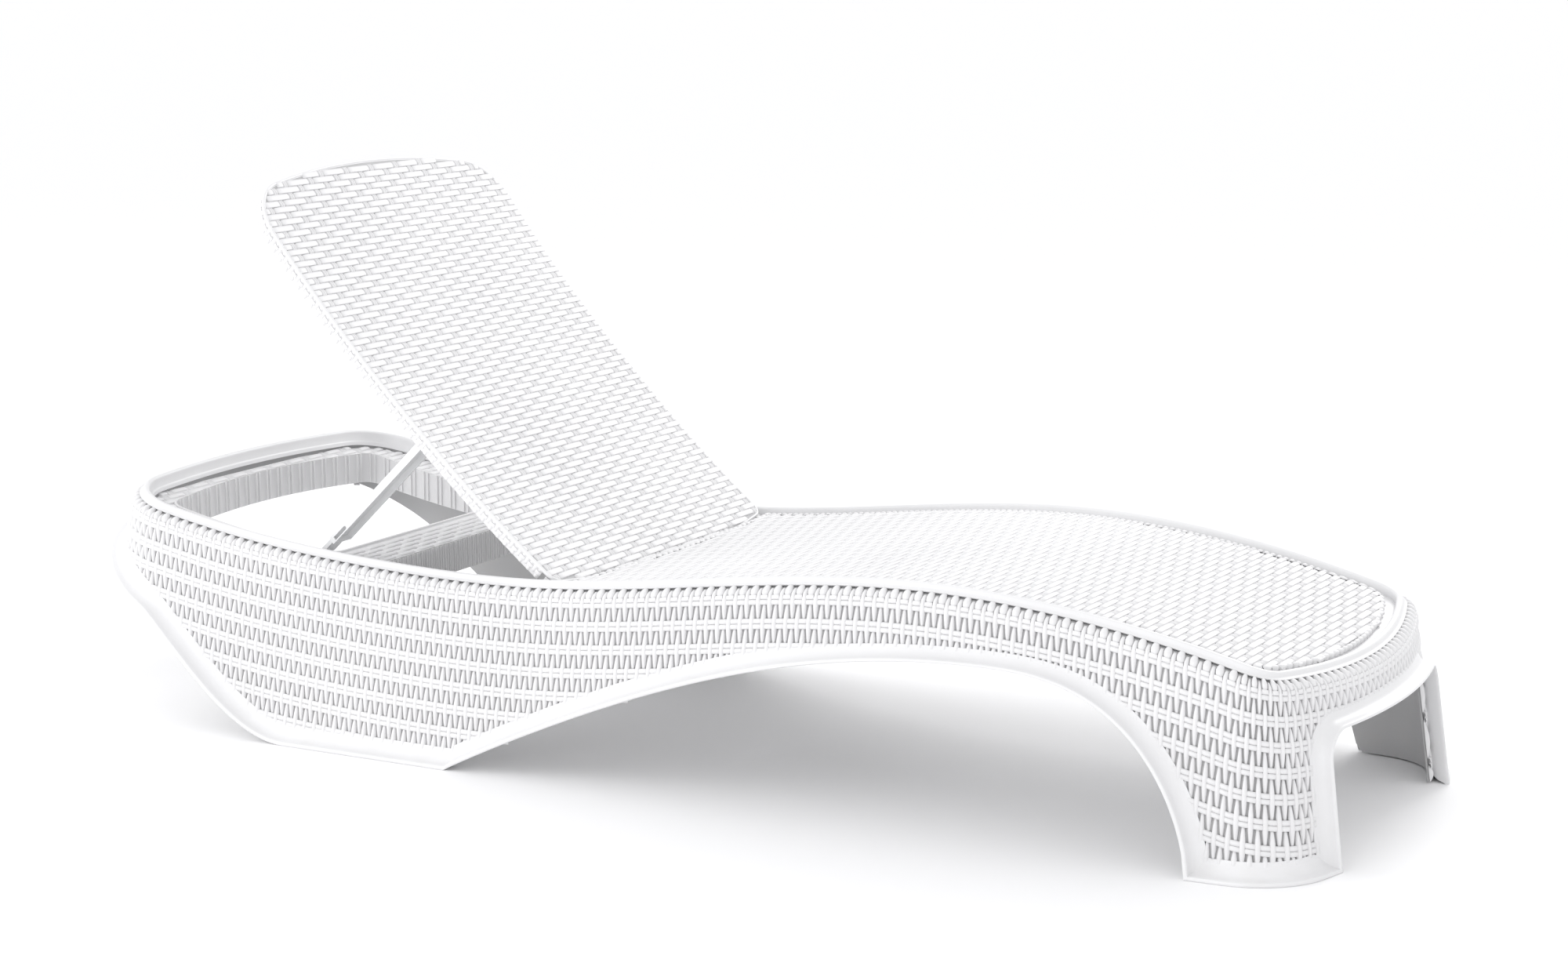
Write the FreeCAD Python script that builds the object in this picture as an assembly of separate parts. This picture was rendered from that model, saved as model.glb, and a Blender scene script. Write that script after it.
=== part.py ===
import FreeCAD, Part
import math
import os

# Reclining sun lounger in one resin colour, woven all over.
# Millimetres, +X from the head end to the foot end, +Z up, floor at Z = 0.
# "right" is the -Y side and "left" the +Y side.
# Heights that follow the frame are counted down from the rim, whose level changes along the length.

V = FreeCAD.Vector
os.makedirs("parts", exist_ok=True)

# ---- Driving sizes -------------------------------------------------------------------------

RIM_LENGTH = 1853.0          # head to foot, over the rim
HEAD_HALF_WIDTH = 321.0      # rim, at the head
FOOT_HALF_WIDTH = 268.5      # rim, at the foot
SIDE_BULGE = 9.9             # how far the long sides bow outwards, each
HEAD_BOW = 28.7              # how far the head end bows outwards
HEAD_CORNER = 96.0
FOOT_BOW = 46.0
FOOT_CORNER = 42.0

# level of the rim at places along the length
HEAD_LEVEL = 342.0
SHOULDER_LEVEL = 295.0
BACK_LEVEL = 269.5
HINGE_LEVEL = 269.5
THIGH_LEVEL = 300.0
KNEE_LEVEL = 323.5
CALF_LEVEL = 306.5
FOOT_LEVEL = 241.0

LIP_WIDTH = 10.0
LIP_HEIGHT = 8.0
WALL = 4.0                   # thickness of the skirt walls
SHOULDER_OUT = 19.0          # the skirt steps out by this below the lip
SHOULDER_DROP = 17.0
WALL_SLOPE = 0.14            # then leans out by this much per unit of height
LIP_FLARE = 22.0             # the kick lip stands out from the skirt by this
LIP_EDGE = 4.0               # and is this thick at its edge
LIP_BAND = 25.0              # height of the kick lip where it meets the floor
ARCH_BAND = 17.0             # and at the top of the arches
LIP_FIT = 0.05               # the lips stand off the skirt by this
FOOT_LIP_FIT = 0.35          # and round the feet and the foot arch by this
FLOOR_TRIM = 0.3             # trimmed off the lips so that they stand flat on the floor

# places along the length, from the head end of the rim
REAR_FOOT_START = 370.0
REAR_FOOT_END = 645.0
ARCH_TOP_X = 1432.0
ARCH_TOP = 233.0
FRONT_LEG_START = 1730.0
HEAD_LIP_LEVEL = 275.0
FOOT_ARCH_HALF = 222.0
FOOT_ARCH_TOP = 174.0
FOOT_ARCH_CORNER = 38.0

BAND_DROP = 24.0             # inner band of the rim, below the rim
STEP_DROP = 18.0             # a small step on the band
STEP_IN = 3.0
SHEET = 4.0                  # thickness of ledges and other flat sheet
PAN_SHEET = 3.0
SEAM = 0.3                   # fit of the pan and the ledges in the rim, and of the deck on the pan
DECK_TOP = 7.0               # top of the seat deck, below the rim

WELL_START = 36.0            # opening under the head of the backrest
WELL_END = 360.0
SIDE_LEDGE = 70.0            # width of the side ledges, from the rim's outside
WELL_CORNER = 26.0
WELL_BOW = 26.0
WELL_DEPTH = 44.0
GAP_BOW = 8.0
DECK_CORNER = 46.0
DECK_BOW = 46.0
BEAM_END = 445.0             # the cross beam runs from WELL_END to here
GAP_CORNER = 18.0

HINGE_X = 768.0
HINGE_DROP = 16.0            # hinge axis, below the rim
PIN_RADIUS = 4.0
PIN_CLEARANCE = 0.08
BACK_CLEARANCE = 17.0        # edge of the backrest, in from the rim's outside
BACK_HEAD_GAP = 15.0         # top of the backrest, in from the head end of the rim
BACK_SHEET = 8.0
BACK_SIDE_DEPTH = 22.0
BACK_SIDE_WALL = 4.0
BACK_TOP_BOW = 33.0
BACK_TOP_CORNER = 80.0
BACK_END_BOW = 26.0          # the lower edge of the backrest bows by this
BACK_END_CORNER = 22.0
BEAD = 5.0
SEAT_GAP = 9.0               # gap between backrest and seat
BACK_RAISED = 40.9           # how far the backrest is raised in the stored pose, degrees

ARM_PLACE = 287.0            # prop arms, up the backrest from the hinge
ARM_DROP = 17.4              # arm pivot, below the face of the backrest
ARM_REACH = 263.0            # pivot to the tip
ARM_WIDTH = 42.0
ARM_THICK = 11.0
ARM_SHEET = 3.0
ARM_OUTER = 285.0            # outside face of each arm, from the middle of the lounger
ARM_FOLD = 90.5              # swing between the stored pose and folded flat, degrees
BLADE_LENGTH = 34.0
SLOT_LENGTH = 26.0
SLOT_WIDTH = 5.5
REST_HEIGHT = 4.4            # pad on the ledge that the arm's tip stands on
REST_LENGTH = 26.0
REST_WIDTH = 28.0
LUG_GAP = 0.6                # side clearance at the arm pivots

CENTRE_X = RIM_LENGTH / 2.0

# ---- Outline of the rim --------------------------------------------------------------------

HALF = (HEAD_HALF_WIDTH + FOOT_HALF_WIDTH) / 2.0


def end_numbers(bow, corner):
    """Bow radius, corner centre and joining angle of one rounded end."""
    radius = (HALF * HALF + bow * bow) / (2.0 * bow)
    reach = math.sqrt((radius - corner) ** 2 - (HALF - corner) ** 2)
    return radius, radius - reach, math.atan2(HALF - corner, reach)


HEAD_R, HEAD_CX, HEAD_ANGLE = end_numbers(HEAD_BOW, HEAD_CORNER)
FOOT_R, FOOT_CX, FOOT_ANGLE = end_numbers(FOOT_BOW, FOOT_CORNER)
RUN_1 = HEAD_R * HEAD_ANGLE
RUN_2 = RUN_1 + HEAD_CORNER * (math.pi / 2.0 - HEAD_ANGLE)
RUN_3 = RUN_2 + RIM_LENGTH - FOOT_CX - HEAD_CX
RUN_4 = RUN_3 + FOOT_CORNER * (math.pi / 2.0 - FOOT_ANGLE)
RUN_5 = RUN_4 + FOOT_R * FOOT_ANGLE


def run_at(x):
    """Distance along the outline to a place on the long side."""
    return RUN_2 + x - HEAD_CX


def width_scale(x):
    """Taper and bulge of the long sides."""
    taper = HEAD_HALF_WIDTH + (FOOT_HALF_WIDTH - HEAD_HALF_WIDTH) * x / RIM_LENGTH
    middle = (2.0 * x - RIM_LENGTH) / RIM_LENGTH
    return (taper + SIDE_BULGE * (1.0 - middle * middle)) / HALF


def half_width(x):
    return HALF * width_scale(x)


def outline(run):
    """Point on the rim's outside. Run is counted from the head, negative on the left side."""
    side = -1.0 if run >= 0 else 1.0
    run = abs(run)
    if run > RUN_5:
        run = 2.0 * RUN_5 - run
        side = -side
    if run < RUN_1:
        turn = run / HEAD_R
        x = HEAD_R - HEAD_R * math.cos(turn)
        y = HEAD_R * math.sin(turn)
    elif run < RUN_2:
        turn = HEAD_ANGLE + (run - RUN_1) / HEAD_CORNER
        x = HEAD_CX - HEAD_CORNER * math.cos(turn)
        y = HALF - HEAD_CORNER + HEAD_CORNER * math.sin(turn)
    elif run < RUN_3:
        x = HEAD_CX + run - RUN_2
        y = HALF
    elif run < RUN_4:
        turn = (run - RUN_3) / FOOT_CORNER
        x = RIM_LENGTH - FOOT_CX + FOOT_CORNER * math.sin(turn)
        y = HALF - FOOT_CORNER + FOOT_CORNER * math.cos(turn)
    else:
        turn = (RUN_5 - run) / FOOT_R
        x = RIM_LENGTH - FOOT_R + FOOT_R * math.cos(turn)
        y = FOOT_R * math.sin(turn)
    return x, side * y * width_scale(x)


def outward(run):
    """Unit normal of the outline, pointing away from the lounger."""
    ax, ay = outline(run - 1.5)
    bx, by = outline(run + 1.5)
    dx = bx - ax
    dy = by - ay
    size = math.hypot(dx, dy)
    nx = dy / size
    ny = -dx / size
    x, y = outline(run)
    if nx * (x - RIM_LENGTH / 2.0) + ny * y < 0:
        nx = -nx
        ny = -ny
    return nx, ny


LEVEL_PLACES = [
    (0.0, HEAD_LEVEL),
    (228.0, SHOULDER_LEVEL),
    (500.0, BACK_LEVEL),
    (774.0, HINGE_LEVEL),
    (1046.0, THIGH_LEVEL),
    (1320.0, KNEE_LEVEL),
    (1565.0, CALF_LEVEL),
    (RIM_LENGTH, FOOT_LEVEL),
]
LEVEL_CURVE = Part.BSplineCurve()
LEVEL_CURVE.interpolate(
    Points=[V(x, 0, z) for x, z in LEVEL_PLACES],
    Parameters=[x for x, z in LEVEL_PLACES],
)


def rim_level(x):
    """Height of the rim above the floor."""
    x = min(max(x, 0.0), RIM_LENGTH)
    return LEVEL_CURVE.value(x).z


def place(run, out, z):
    """Space point: a place on the outline, moved outwards and put at a height."""
    x, y = outline(run)
    nx, ny = outward(run)
    return V(x + nx * out - CENTRE_X, y + ny * out, z)


def level_at(run):
    return rim_level(outline(run)[0])


def skirt_out(level, z):
    """How far the skirt's outside stands out from the rim's outside, at a height."""
    drop = level - LIP_HEIGHT - z
    if drop <= 0:
        return 0.0
    if drop < SHOULDER_DROP:
        rest = 1.0 - drop / SHOULDER_DROP
        return SHOULDER_OUT * math.sqrt(1.0 - rest * rest)
    return SHOULDER_OUT + WALL_SLOPE * (drop - SHOULDER_DROP)


def runs(start, stop, count_side=0):
    """Stations between two places on the outline, close together round the corners."""
    marks = []
    for a, b, step in (
        (0.0, RUN_1, 30.0),
        (RUN_1, RUN_2, 10.0),
        (RUN_2, RUN_3, 50.0),
        (RUN_3, RUN_4, 6.0),
        (RUN_4, RUN_5, 30.0),
    ):
        n = max(2, int(round((b - a) / step)))
        for i in range(n):
            marks.append(a + (b - a) * i / n)
    marks.append(RUN_5)
    both = sorted(set([-m for m in marks[1:]] + marks))
    inside = [m for m in both if start + 6.0 < m < stop - 6.0]
    return [start] + inside + [stop]


# ---- Lower edge of the body ----------------------------------------------------------------

RUN_REAR_START = run_at(REAR_FOOT_START)
RUN_REAR_END = run_at(REAR_FOOT_END)
RUN_ARCH_TOP = run_at(ARCH_TOP_X)
RUN_LEG = run_at(FRONT_LEG_START)
RUN_LEG_END = RUN_5 - FOOT_R * math.asin(FOOT_ARCH_HALF / (FOOT_R * width_scale(RIM_LENGTH) + 75.0))
RUN_HEAD_LOW = 150.0


def edge_level(run):
    """Height of the lower edge, without the foot arch."""
    run = abs(run)
    if run < RUN_HEAD_LOW:
        return HEAD_LIP_LEVEL
    if run < RUN_REAR_START:
        u = (run - RUN_HEAD_LOW) / (RUN_REAR_START - RUN_HEAD_LOW)
        return HEAD_LIP_LEVEL * (1.0 - u * u * (3.0 - 2.0 * u))
    if run < RUN_REAR_END:
        return 0.0
    if run < RUN_ARCH_TOP:
        u = (run - RUN_REAR_END) / (RUN_ARCH_TOP - RUN_REAR_END)
        return ARCH_TOP * math.sin(math.pi / 2.0 * u) ** 0.95
    if run < RUN_LEG:
        u = (run - RUN_ARCH_TOP) / (RUN_LEG - RUN_ARCH_TOP)
        return ARCH_TOP * max(0.0, 1.0 - u ** 2.7) ** (1.0 / 1.55)
    return 0.0


def arch_runs(start, stop, count):
    """Stations that crowd together towards the steep side of the arch."""
    return [start + (stop - start) * math.sin(math.pi / 2.0 * i / count) for i in range(count + 1)]


# ---- Solid builders ------------------------------------------------------------------------


def ring_wire(points, arc_at=None):
    """Closed wire through points; arc_at names the middle points of arcs."""
    arc_at = arc_at or []
    edges = []
    n = len(points)
    i = 0
    while i < n:
        if (i + 1) in arc_at:
            edges.append(Part.Arc(points[i], points[i + 1], points[(i + 2) % n]).toShape())
            i += 2
        else:
            edges.append(Part.makeLine(points[i], points[(i + 1) % n]))
            i += 1
    return Part.Wire(edges)


def loft(wires, closed=False):
    shape = Part.makeLoft(wires, True, True, closed)
    if shape.Volume < 0:
        shape.reverse()
    return shape


def mirrored(shape):
    """The same piece on the other side of the lounger."""
    return shape.mirror(V(0, 0, 0), V(0, 1, 0))


def outline_prism(inset, low=-50.0, high=1200.0):
    """Everything inside the rim outline moved inwards by an inset."""
    stations = runs(-RUN_5, RUN_5)[:-1]
    points = [place(r, -inset, low) for r in stations]
    curve = Part.BSplineCurve()
    curve.interpolate(points, PeriodicFlag=True)
    face = Part.Face(Part.Wire([curve.toShape()]))
    return face.extrude(V(0, 0, high - low))


def band(top, bottom, x0, x1, half=420.0):
    """Sheet that follows the rim's level, between two depths below the rim."""
    n = max(4, int((x1 - x0) / 90.0))
    xs = [x0 + (x1 - x0) * i / n for i in range(n + 1)]
    upper = Part.BSplineCurve()
    upper.interpolate([V(x - CENTRE_X, -half, rim_level(x) - top) for x in xs])
    lower = Part.BSplineCurve()
    lower.interpolate([V(x - CENTRE_X, -half, rim_level(x) - bottom) for x in xs])
    wire = Part.Wire([
        upper.toShape(),
        Part.makeLine(upper.EndPoint, lower.EndPoint),
        lower.toShape(),
        Part.makeLine(lower.StartPoint, upper.StartPoint),
    ])
    return Part.Face(Part.Wire(Part.__sortEdges__(wire.Edges))).extrude(V(0, 2.0 * half, 0))


def bowed_corner(end, toward, half, corner, bow):
    """Corner of a panel whose end is bowed: where the bow meets the corner, its middle, its end.

    The corner is tangent to the bow and to the panel's side. toward is +1 when the panel lies
    on the +X side of this end and -1 when it lies on the other side.
    """
    radius = (half * half + bow * bow) / (2.0 * bow)
    turn = math.asin((half - corner) / (radius - corner))
    cx = radius - (radius - corner) * math.cos(turn)
    cy = half - corner
    mid = 0.5 * (turn + math.pi / 2.0)
    return [
        (end + toward * (radius - radius * math.cos(turn)), radius * math.sin(turn)),
        (end + toward * (cx - corner * math.cos(mid)), cy + corner * math.sin(mid)),
        (end + toward * cx, half),
    ]


def rounded_panel(x0, x1, half0, half1, corner0, corner1, bow0, bow1, low=-50.0, high=1200.0):
    """Upright prism with four rounded corners and bowed ends, tapering from half0 to half1."""
    a = x0 - CENTRE_X
    b = x1 - CENTRE_X
    head = bowed_corner(a, 1.0, half0, corner0, bow0)
    foot = bowed_corner(b, -1.0, half1, corner1, bow1)

    def at(point, side):
        return V(point[0], side * point[1], low)

    edges = [
        Part.Arc(at(head[0], -1), V(a, 0, low), at(head[0], 1)).toShape(),
        Part.Arc(at(head[0], 1), at(head[1], 1), at(head[2], 1)).toShape(),
        Part.makeLine(at(head[2], 1), at(foot[2], 1)),
        Part.Arc(at(foot[2], 1), at(foot[1], 1), at(foot[0], 1)).toShape(),
        Part.Arc(at(foot[0], 1), V(b, 0, low), at(foot[0], -1)).toShape(),
        Part.Arc(at(foot[0], -1), at(foot[1], -1), at(foot[2], -1)).toShape(),
        Part.makeLine(at(foot[2], -1), at(head[2], -1)),
        Part.Arc(at(head[2], -1), at(head[1], -1), at(head[0], -1)).toShape(),
    ]
    return Part.Face(Part.Wire(edges)).extrude(V(0, 0, high - low))


def box(x0, x1, y0, y1, z0, z1):
    return Part.makeBox(x1 - x0, y1 - y0, z1 - z0, V(x0 - CENTRE_X, y0, z0))


def cleaned(shape):
    """Drop compound wrappers and merge split faces."""
    solids = shape.Solids
    if len(solids) == 1:
        return solids[0]
    return Part.makeCompound(solids)


# ---- Body: rim, skirts and kick lips -------------------------------------------------------


def rim_wire(run):
    z = level_at(run)
    return ring_wire([
        place(run, 0.0, z - LIP_HEIGHT),
        place(run, 0.0, z - 0.45 * LIP_HEIGHT),
        place(run, -0.5 * LIP_WIDTH, z),
        place(run, -LIP_WIDTH, z - 0.45 * LIP_HEIGHT),
        place(run, -LIP_WIDTH, z - LIP_HEIGHT),
    ], arc_at=[2])


def inner_band_wire(run):
    z = level_at(run)
    back = -LIP_WIDTH + 3.5
    return ring_wire([
        place(run, back, z - LIP_HEIGHT),
        place(run, -LIP_WIDTH, z - LIP_HEIGHT),
        place(run, -LIP_WIDTH, z - STEP_DROP),
        place(run, -LIP_WIDTH - STEP_IN, z - STEP_DROP),
        place(run, -LIP_WIDTH - STEP_IN, z - BAND_DROP),
        place(run, back, z - BAND_DROP),
    ])


def skirt_wire(run, bottom=None):
    """Section of the skirt wall from the lip down to just above the lower edge."""
    level = level_at(run)
    low = (edge_level(run) + 2.0) if bottom is None else bottom
    top = level - LIP_HEIGHT
    bend = 0.3
    mid_z = top - bend * SHOULDER_DROP
    turn_z = top - SHOULDER_DROP
    foot_out = skirt_out(level, low)
    return ring_wire([
        place(run, 0.0, top),
        place(run, skirt_out(level, mid_z), mid_z),
        place(run, SHOULDER_OUT, turn_z),
        place(run, foot_out, low),
        place(run, foot_out - WALL, low),
        place(run, SHOULDER_OUT - WALL, turn_z),
        place(run, skirt_out(level, mid_z) - WALL, mid_z - 0.5 * WALL),
        place(run, -WALL, top),
    ], arc_at=[1, 6])


def lip_wire(run, z, toward_run, toward_z, width, fit):
    """Section of the kick lip: root on the skirt, tip flared out at the lower edge.

    toward_run and toward_z point from the edge up into the skirt, in the skirt's own surface.
    """
    root_run = run + toward_run * width
    root_z = z + toward_z * width
    tip_run = run + toward_run * LIP_EDGE
    tip_z = z + toward_z * LIP_EDGE
    low = z - FLOOR_TRIM if z < 0.5 else z
    level = level_at(run)
    root_out = skirt_out(level_at(root_run), root_z)
    edge_out = skirt_out(level, z)
    root = place(root_run, root_out + fit, root_z)
    upper = place(tip_run, edge_out + LIP_FLARE, tip_z)
    tip = place(run, edge_out + LIP_FLARE, low)
    edge = place(run, edge_out + fit, low)
    across = (tip - edge).cross(upper - edge)
    across.normalize()
    root = root - across * (root - edge).dot(across)
    return ring_wire([root, upper, tip, edge])


def lip_piece(path, widths, ends=(None, None), fit=LIP_FIT):
    """Kick lip along a path of (run, height) on the skirt. The lower edge is on the path.

    An end given as a direction is a mitre, so stations too close to it are left out.
    """
    if ends[0] and ends[0][0]:
        keep = [i for i in range(len(path)) if i == 0 or reach(path, 0, i) > 1.3 * LIP_BAND]
        path = [path[i] for i in keep]
        widths = [widths[i] for i in keep]
    if ends[1] and ends[1][0]:
        last = len(path) - 1
        keep = [i for i in range(len(path)) if i == last or reach(path, i, last) > 1.3 * LIP_BAND]
        path = [path[i] for i in keep]
        widths = [widths[i] for i in keep]
    wires = []
    n = len(path)
    for i in range(n):
        r, z = path[i]
        if i == 0 and ends[0]:
            tr, tz = ends[0]
        elif i == n - 1 and ends[1]:
            tr, tz = ends[1]
        else:
            ra, za = path[max(i - 1, 0)]
            rb, zb = path[min(i + 1, n - 1)]
            size = math.hypot(rb - ra, zb - za)
            tr = -(zb - za) / size
            tz = (rb - ra) / size
        wires.append(lip_wire(r, z, tr, tz, widths[i], fit))
    below_floor = box(-100.0, RIM_LENGTH + 100.0, -500.0, 500.0, -30.0, 0.0)
    return loft(wires).cut(below_floor)


def reach(path, i, j):
    """Straight distance between two stations of a path."""
    return math.hypot(path[i][0] - path[j][0], path[i][1] - path[j][1])


def blend(a, b, u):
    return a + (b - a) * u


def head_lip():
    path = [(r, edge_level(r)) for r in runs(-RUN_REAR_END, RUN_REAR_END)]
    return lip_piece(path, [LIP_BAND] * len(path))


def arch_lip():
    rear = [RUN_REAR_END + (RUN_ARCH_TOP - RUN_REAR_END) * i / 12.0 for i in range(12)]
    front = arch_runs(RUN_ARCH_TOP, RUN_LEG, 14)
    stations = rear + front
    path = [(r, edge_level(r)) for r in stations]
    widths = []
    for r in stations:
        u = min(1.0, abs(r - RUN_ARCH_TOP) / (RUN_LEG - RUN_ARCH_TOP))
        widths.append(blend(ARCH_BAND, LIP_BAND, u * u))
    corner = math.sqrt(0.5) * 1.3
    return lip_piece(path, widths, ends=((0.0, 1.0), (corner, corner)))


def leg_lip():
    stations = runs(RUN_LEG, RUN_LEG_END)
    path = [(r, 0.0) for r in stations]
    corner = math.sqrt(0.5) * 1.3
    return lip_piece(path, [LIP_BAND] * len(path), ends=((corner, corner), (-corner, corner)), fit=FOOT_LIP_FIT)


def foot_arch_path():
    """Half of the foot arch, from the leg up and over to the middle."""
    span = RUN_5 - RUN_LEG_END
    path = []
    straight = FOOT_ARCH_TOP - FOOT_ARCH_CORNER
    for i in range(5):
        path.append((RUN_LEG_END, straight * i / 5.0))
    for i in range(7):
        turn = math.pi / 2.0 * i / 6.0
        path.append((
            RUN_LEG_END + FOOT_ARCH_CORNER * (1.0 - math.cos(turn)),
            straight + FOOT_ARCH_CORNER * math.sin(turn),
        ))
    n = 5
    start = RUN_LEG_END + FOOT_ARCH_CORNER
    for i in range(1, n + 1):
        path.append((start + (RUN_5 - start) * i / n, FOOT_ARCH_TOP))
    return path


def foot_arch_lip():
    half = foot_arch_path()
    other = [(2.0 * RUN_5 - r, z) for r, z in half[:-1]]
    path = half + other[::-1]
    corner = math.sqrt(0.5) * 1.3
    widths = []
    for r, z in path:
        u = min(1.0, z / FOOT_ARCH_TOP)
        widths.append(blend(LIP_BAND, ARCH_BAND + 1.0, u * u))
    return lip_piece(path, widths, ends=((-corner, corner), (corner, corner)), fit=FOOT_LIP_FIT)


RUN_HEAD_END = RUN_2 + 20.0
RUN_APRON = RUN_5 - FOOT_R * math.asin((FOOT_ARCH_HALF - FOOT_ARCH_CORNER - 20.0) / FOOT_R)


def rim_stations():
    """Stations of the rim: evenly spaced ones, and every place where one skirt meets the next."""
    joints = [RUN_HEAD_END, RUN_REAR_START, RUN_REAR_END, RUN_ARCH_TOP, RUN_APRON]
    joints = joints + [-j for j in joints]
    even = [r for r in runs(-RUN_5, RUN_5)[:-1] if min(abs(r - j) for j in joints) > 6.0]
    return sorted(even + joints)


def stations_between(start, stop):
    """The rim's stations from one joint to another, so that a skirt meets the rim exactly."""
    return [r for r in rim_stations() if start - 0.01 < r < stop + 0.01]


def head_skirt():
    return loft([skirt_wire(r) for r in stations_between(-RUN_HEAD_END, RUN_HEAD_END)])


def side_skirt():
    rear = loft([skirt_wire(r) for r in stations_between(RUN_HEAD_END, RUN_REAR_END)])
    arch = loft([skirt_wire(r) for r in stations_between(RUN_REAR_END, RUN_ARCH_TOP)])
    return rear.fuse(arch)


def leg_skirt():
    steep = arch_runs(RUN_ARCH_TOP, RUN_LEG - 0.5, 14)
    arch = loft([skirt_wire(r) for r in steep])
    corner = loft([skirt_wire(r, 2.0) for r in runs(RUN_LEG - 0.5, RUN_APRON)])
    whole = arch.fuse(corner)
    return whole.cut(foot_opening())


def foot_opening():
    """The space under the foot arch, long enough to cut the foot skirt."""
    w = FOOT_ARCH_HALF + 2.0
    h = FOOT_ARCH_TOP + 2.0
    c = FOOT_ARCH_CORNER + 2.0
    s = 0.2929 * c
    x = RIM_LENGTH - 190.0 - CENTRE_X
    edges = [
        Part.makeLine(V(x, -w, -20), V(x, -w, h - c)),
        Part.Arc(V(x, -w, h - c), V(x, -w + s, h - s), V(x, -w + c, h)).toShape(),
        Part.makeLine(V(x, -w + c, h), V(x, w - c, h)),
        Part.Arc(V(x, w - c, h), V(x, w - s, h - s), V(x, w, h - c)).toShape(),
        Part.makeLine(V(x, w, h - c), V(x, w, -20)),
        Part.makeLine(V(x, w, -20), V(x, -w, -20)),
    ]
    return Part.Face(Part.Wire(edges)).extrude(V(400, 0, 0))


def foot_skirt():
    right = stations_between(RUN_APRON, RUN_5) + [RUN_5]
    left = [2.0 * RUN_5 - r for r in right[:-1]]
    stations = right + left[::-1]
    return loft([skirt_wire(r, FOOT_ARCH_TOP + 2.0) for r in stations])


# ---- Body: ledges, beam, seat --------------------------------------------------------------


def ledge_half(x):
    return half_width(x) - SIDE_LEDGE


def well_prism(grow=0.0):
    return rounded_panel(
        WELL_START - grow, WELL_END + grow, ledge_half(WELL_START) + grow, ledge_half(WELL_END) + grow,
        WELL_CORNER + grow, WELL_CORNER + grow, WELL_BOW, 1.0)


GAP_END = HINGE_X + BACK_END_BOW + SEAT_GAP


def gap_prism(grow=0.0):
    return rounded_panel(
        BEAM_END - grow, GAP_END + grow, ledge_half(BEAM_END) + grow, ledge_half(GAP_END) + grow,
        GAP_CORNER + grow, GAP_CORNER + grow, 1.0, GAP_BOW)


SEAT_START = HINGE_X + 26.0   # ledges end and the pan starts here, at the sides


def seat_head_cut():
    """Space kept clear of the seat deck: everything behind a bowed line."""
    edge = HINGE_X + SEAT_GAP
    a = edge - CENTRE_X
    half = half_width(HINGE_X) + 40.0
    arc = Part.Arc(V(a, -half, -50), V(a + BACK_END_BOW + 4.0, 0, -50), V(a, half, -50)).toShape()
    back = -CENTRE_X + 300.0
    edges = [
        arc,
        Part.makeLine(V(a, half, -50), V(back, half, -50)),
        Part.makeLine(V(back, half, -50), V(back, -half, -50)),
        Part.makeLine(V(back, -half, -50), V(a, -half, -50)),
    ]
    return Part.Face(Part.Wire(edges)).extrude(V(0, 0, 900))


def deck_prism():
    """Outline of the woven seat deck: rounded, with a gutter round it."""
    return rounded_panel(
        HINGE_X - 60.0, RIM_LENGTH - 21.0, half_width(HINGE_X) - 17.0, half_width(RIM_LENGTH) - 17.0,
        20.0, DECK_CORNER, 1.0, DECK_BOW)


nodes = {}
print("outline lengths", [round(v, 1) for v in (RUN_1, RUN_2, RUN_3, RUN_4, RUN_5)])

ring = rim_stations()
nodes["rim_lip"] = loft([rim_wire(r) for r in ring], closed=True)
nodes["rim_inner_band"] = loft([inner_band_wire(r) for r in ring], closed=True)
nodes["skirt_head"] = head_skirt()
nodes["skirt_side_right"] = side_skirt()
nodes["skirt_side_left"] = mirrored(nodes["skirt_side_right"])
nodes["leg_front_right"] = leg_skirt().cut(nodes["rim_lip"])
nodes["leg_front_left"] = mirrored(nodes["leg_front_right"])
nodes["skirt_foot"] = foot_skirt()
nodes["kick_lip_rear"] = head_lip().cut(nodes["skirt_head"])
nodes["kick_lip_arch_right"] = arch_lip()
nodes["kick_lip_arch_left"] = mirrored(nodes["kick_lip_arch_right"])
nodes["kick_lip_leg_right"] = leg_lip()
nodes["kick_lip_leg_left"] = mirrored(nodes["kick_lip_leg_right"])
nodes["kick_lip_foot_arch"] = foot_arch_lip()

inside_band = outline_prism(LIP_WIDTH + SEAM)
under_band = outline_prism(LIP_WIDTH - 3.5)
ledge_sheet = band(BAND_DROP + SEAM, BAND_DROP + SHEET, -5.0, RIM_LENGTH + 5.0)
ledges = under_band.common(ledge_sheet).cut(well_prism()).cut(gap_prism())
head_end = HEAD_CX
nodes["ledge_head"] = ledges.common(box(-60, head_end, -400, 400, 0, 700))
beam_half = ledge_half(BEAM_END)
side_region = box(head_end, SEAT_START, -400, -beam_half, 0, 700)
nodes["ledge_side_right"] = ledges.common(side_region)
nodes["ledge_side_left"] = mirrored(nodes["ledge_side_right"])
beam_region = box(WELL_END, BEAM_END, -beam_half, beam_half, 0, 700)
nodes["cross_beam"] = ledges.common(beam_region)

well_sheet = band(BAND_DROP + SHEET, BAND_DROP + SHEET + WELL_DEPTH, -5.0, BEAM_END + 400.0)
nodes["well_wall"] = well_prism(3.5).cut(well_prism()).common(well_sheet)
nodes["gap_wall"] = gap_prism(3.5).cut(gap_prism()).common(well_sheet)

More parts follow.
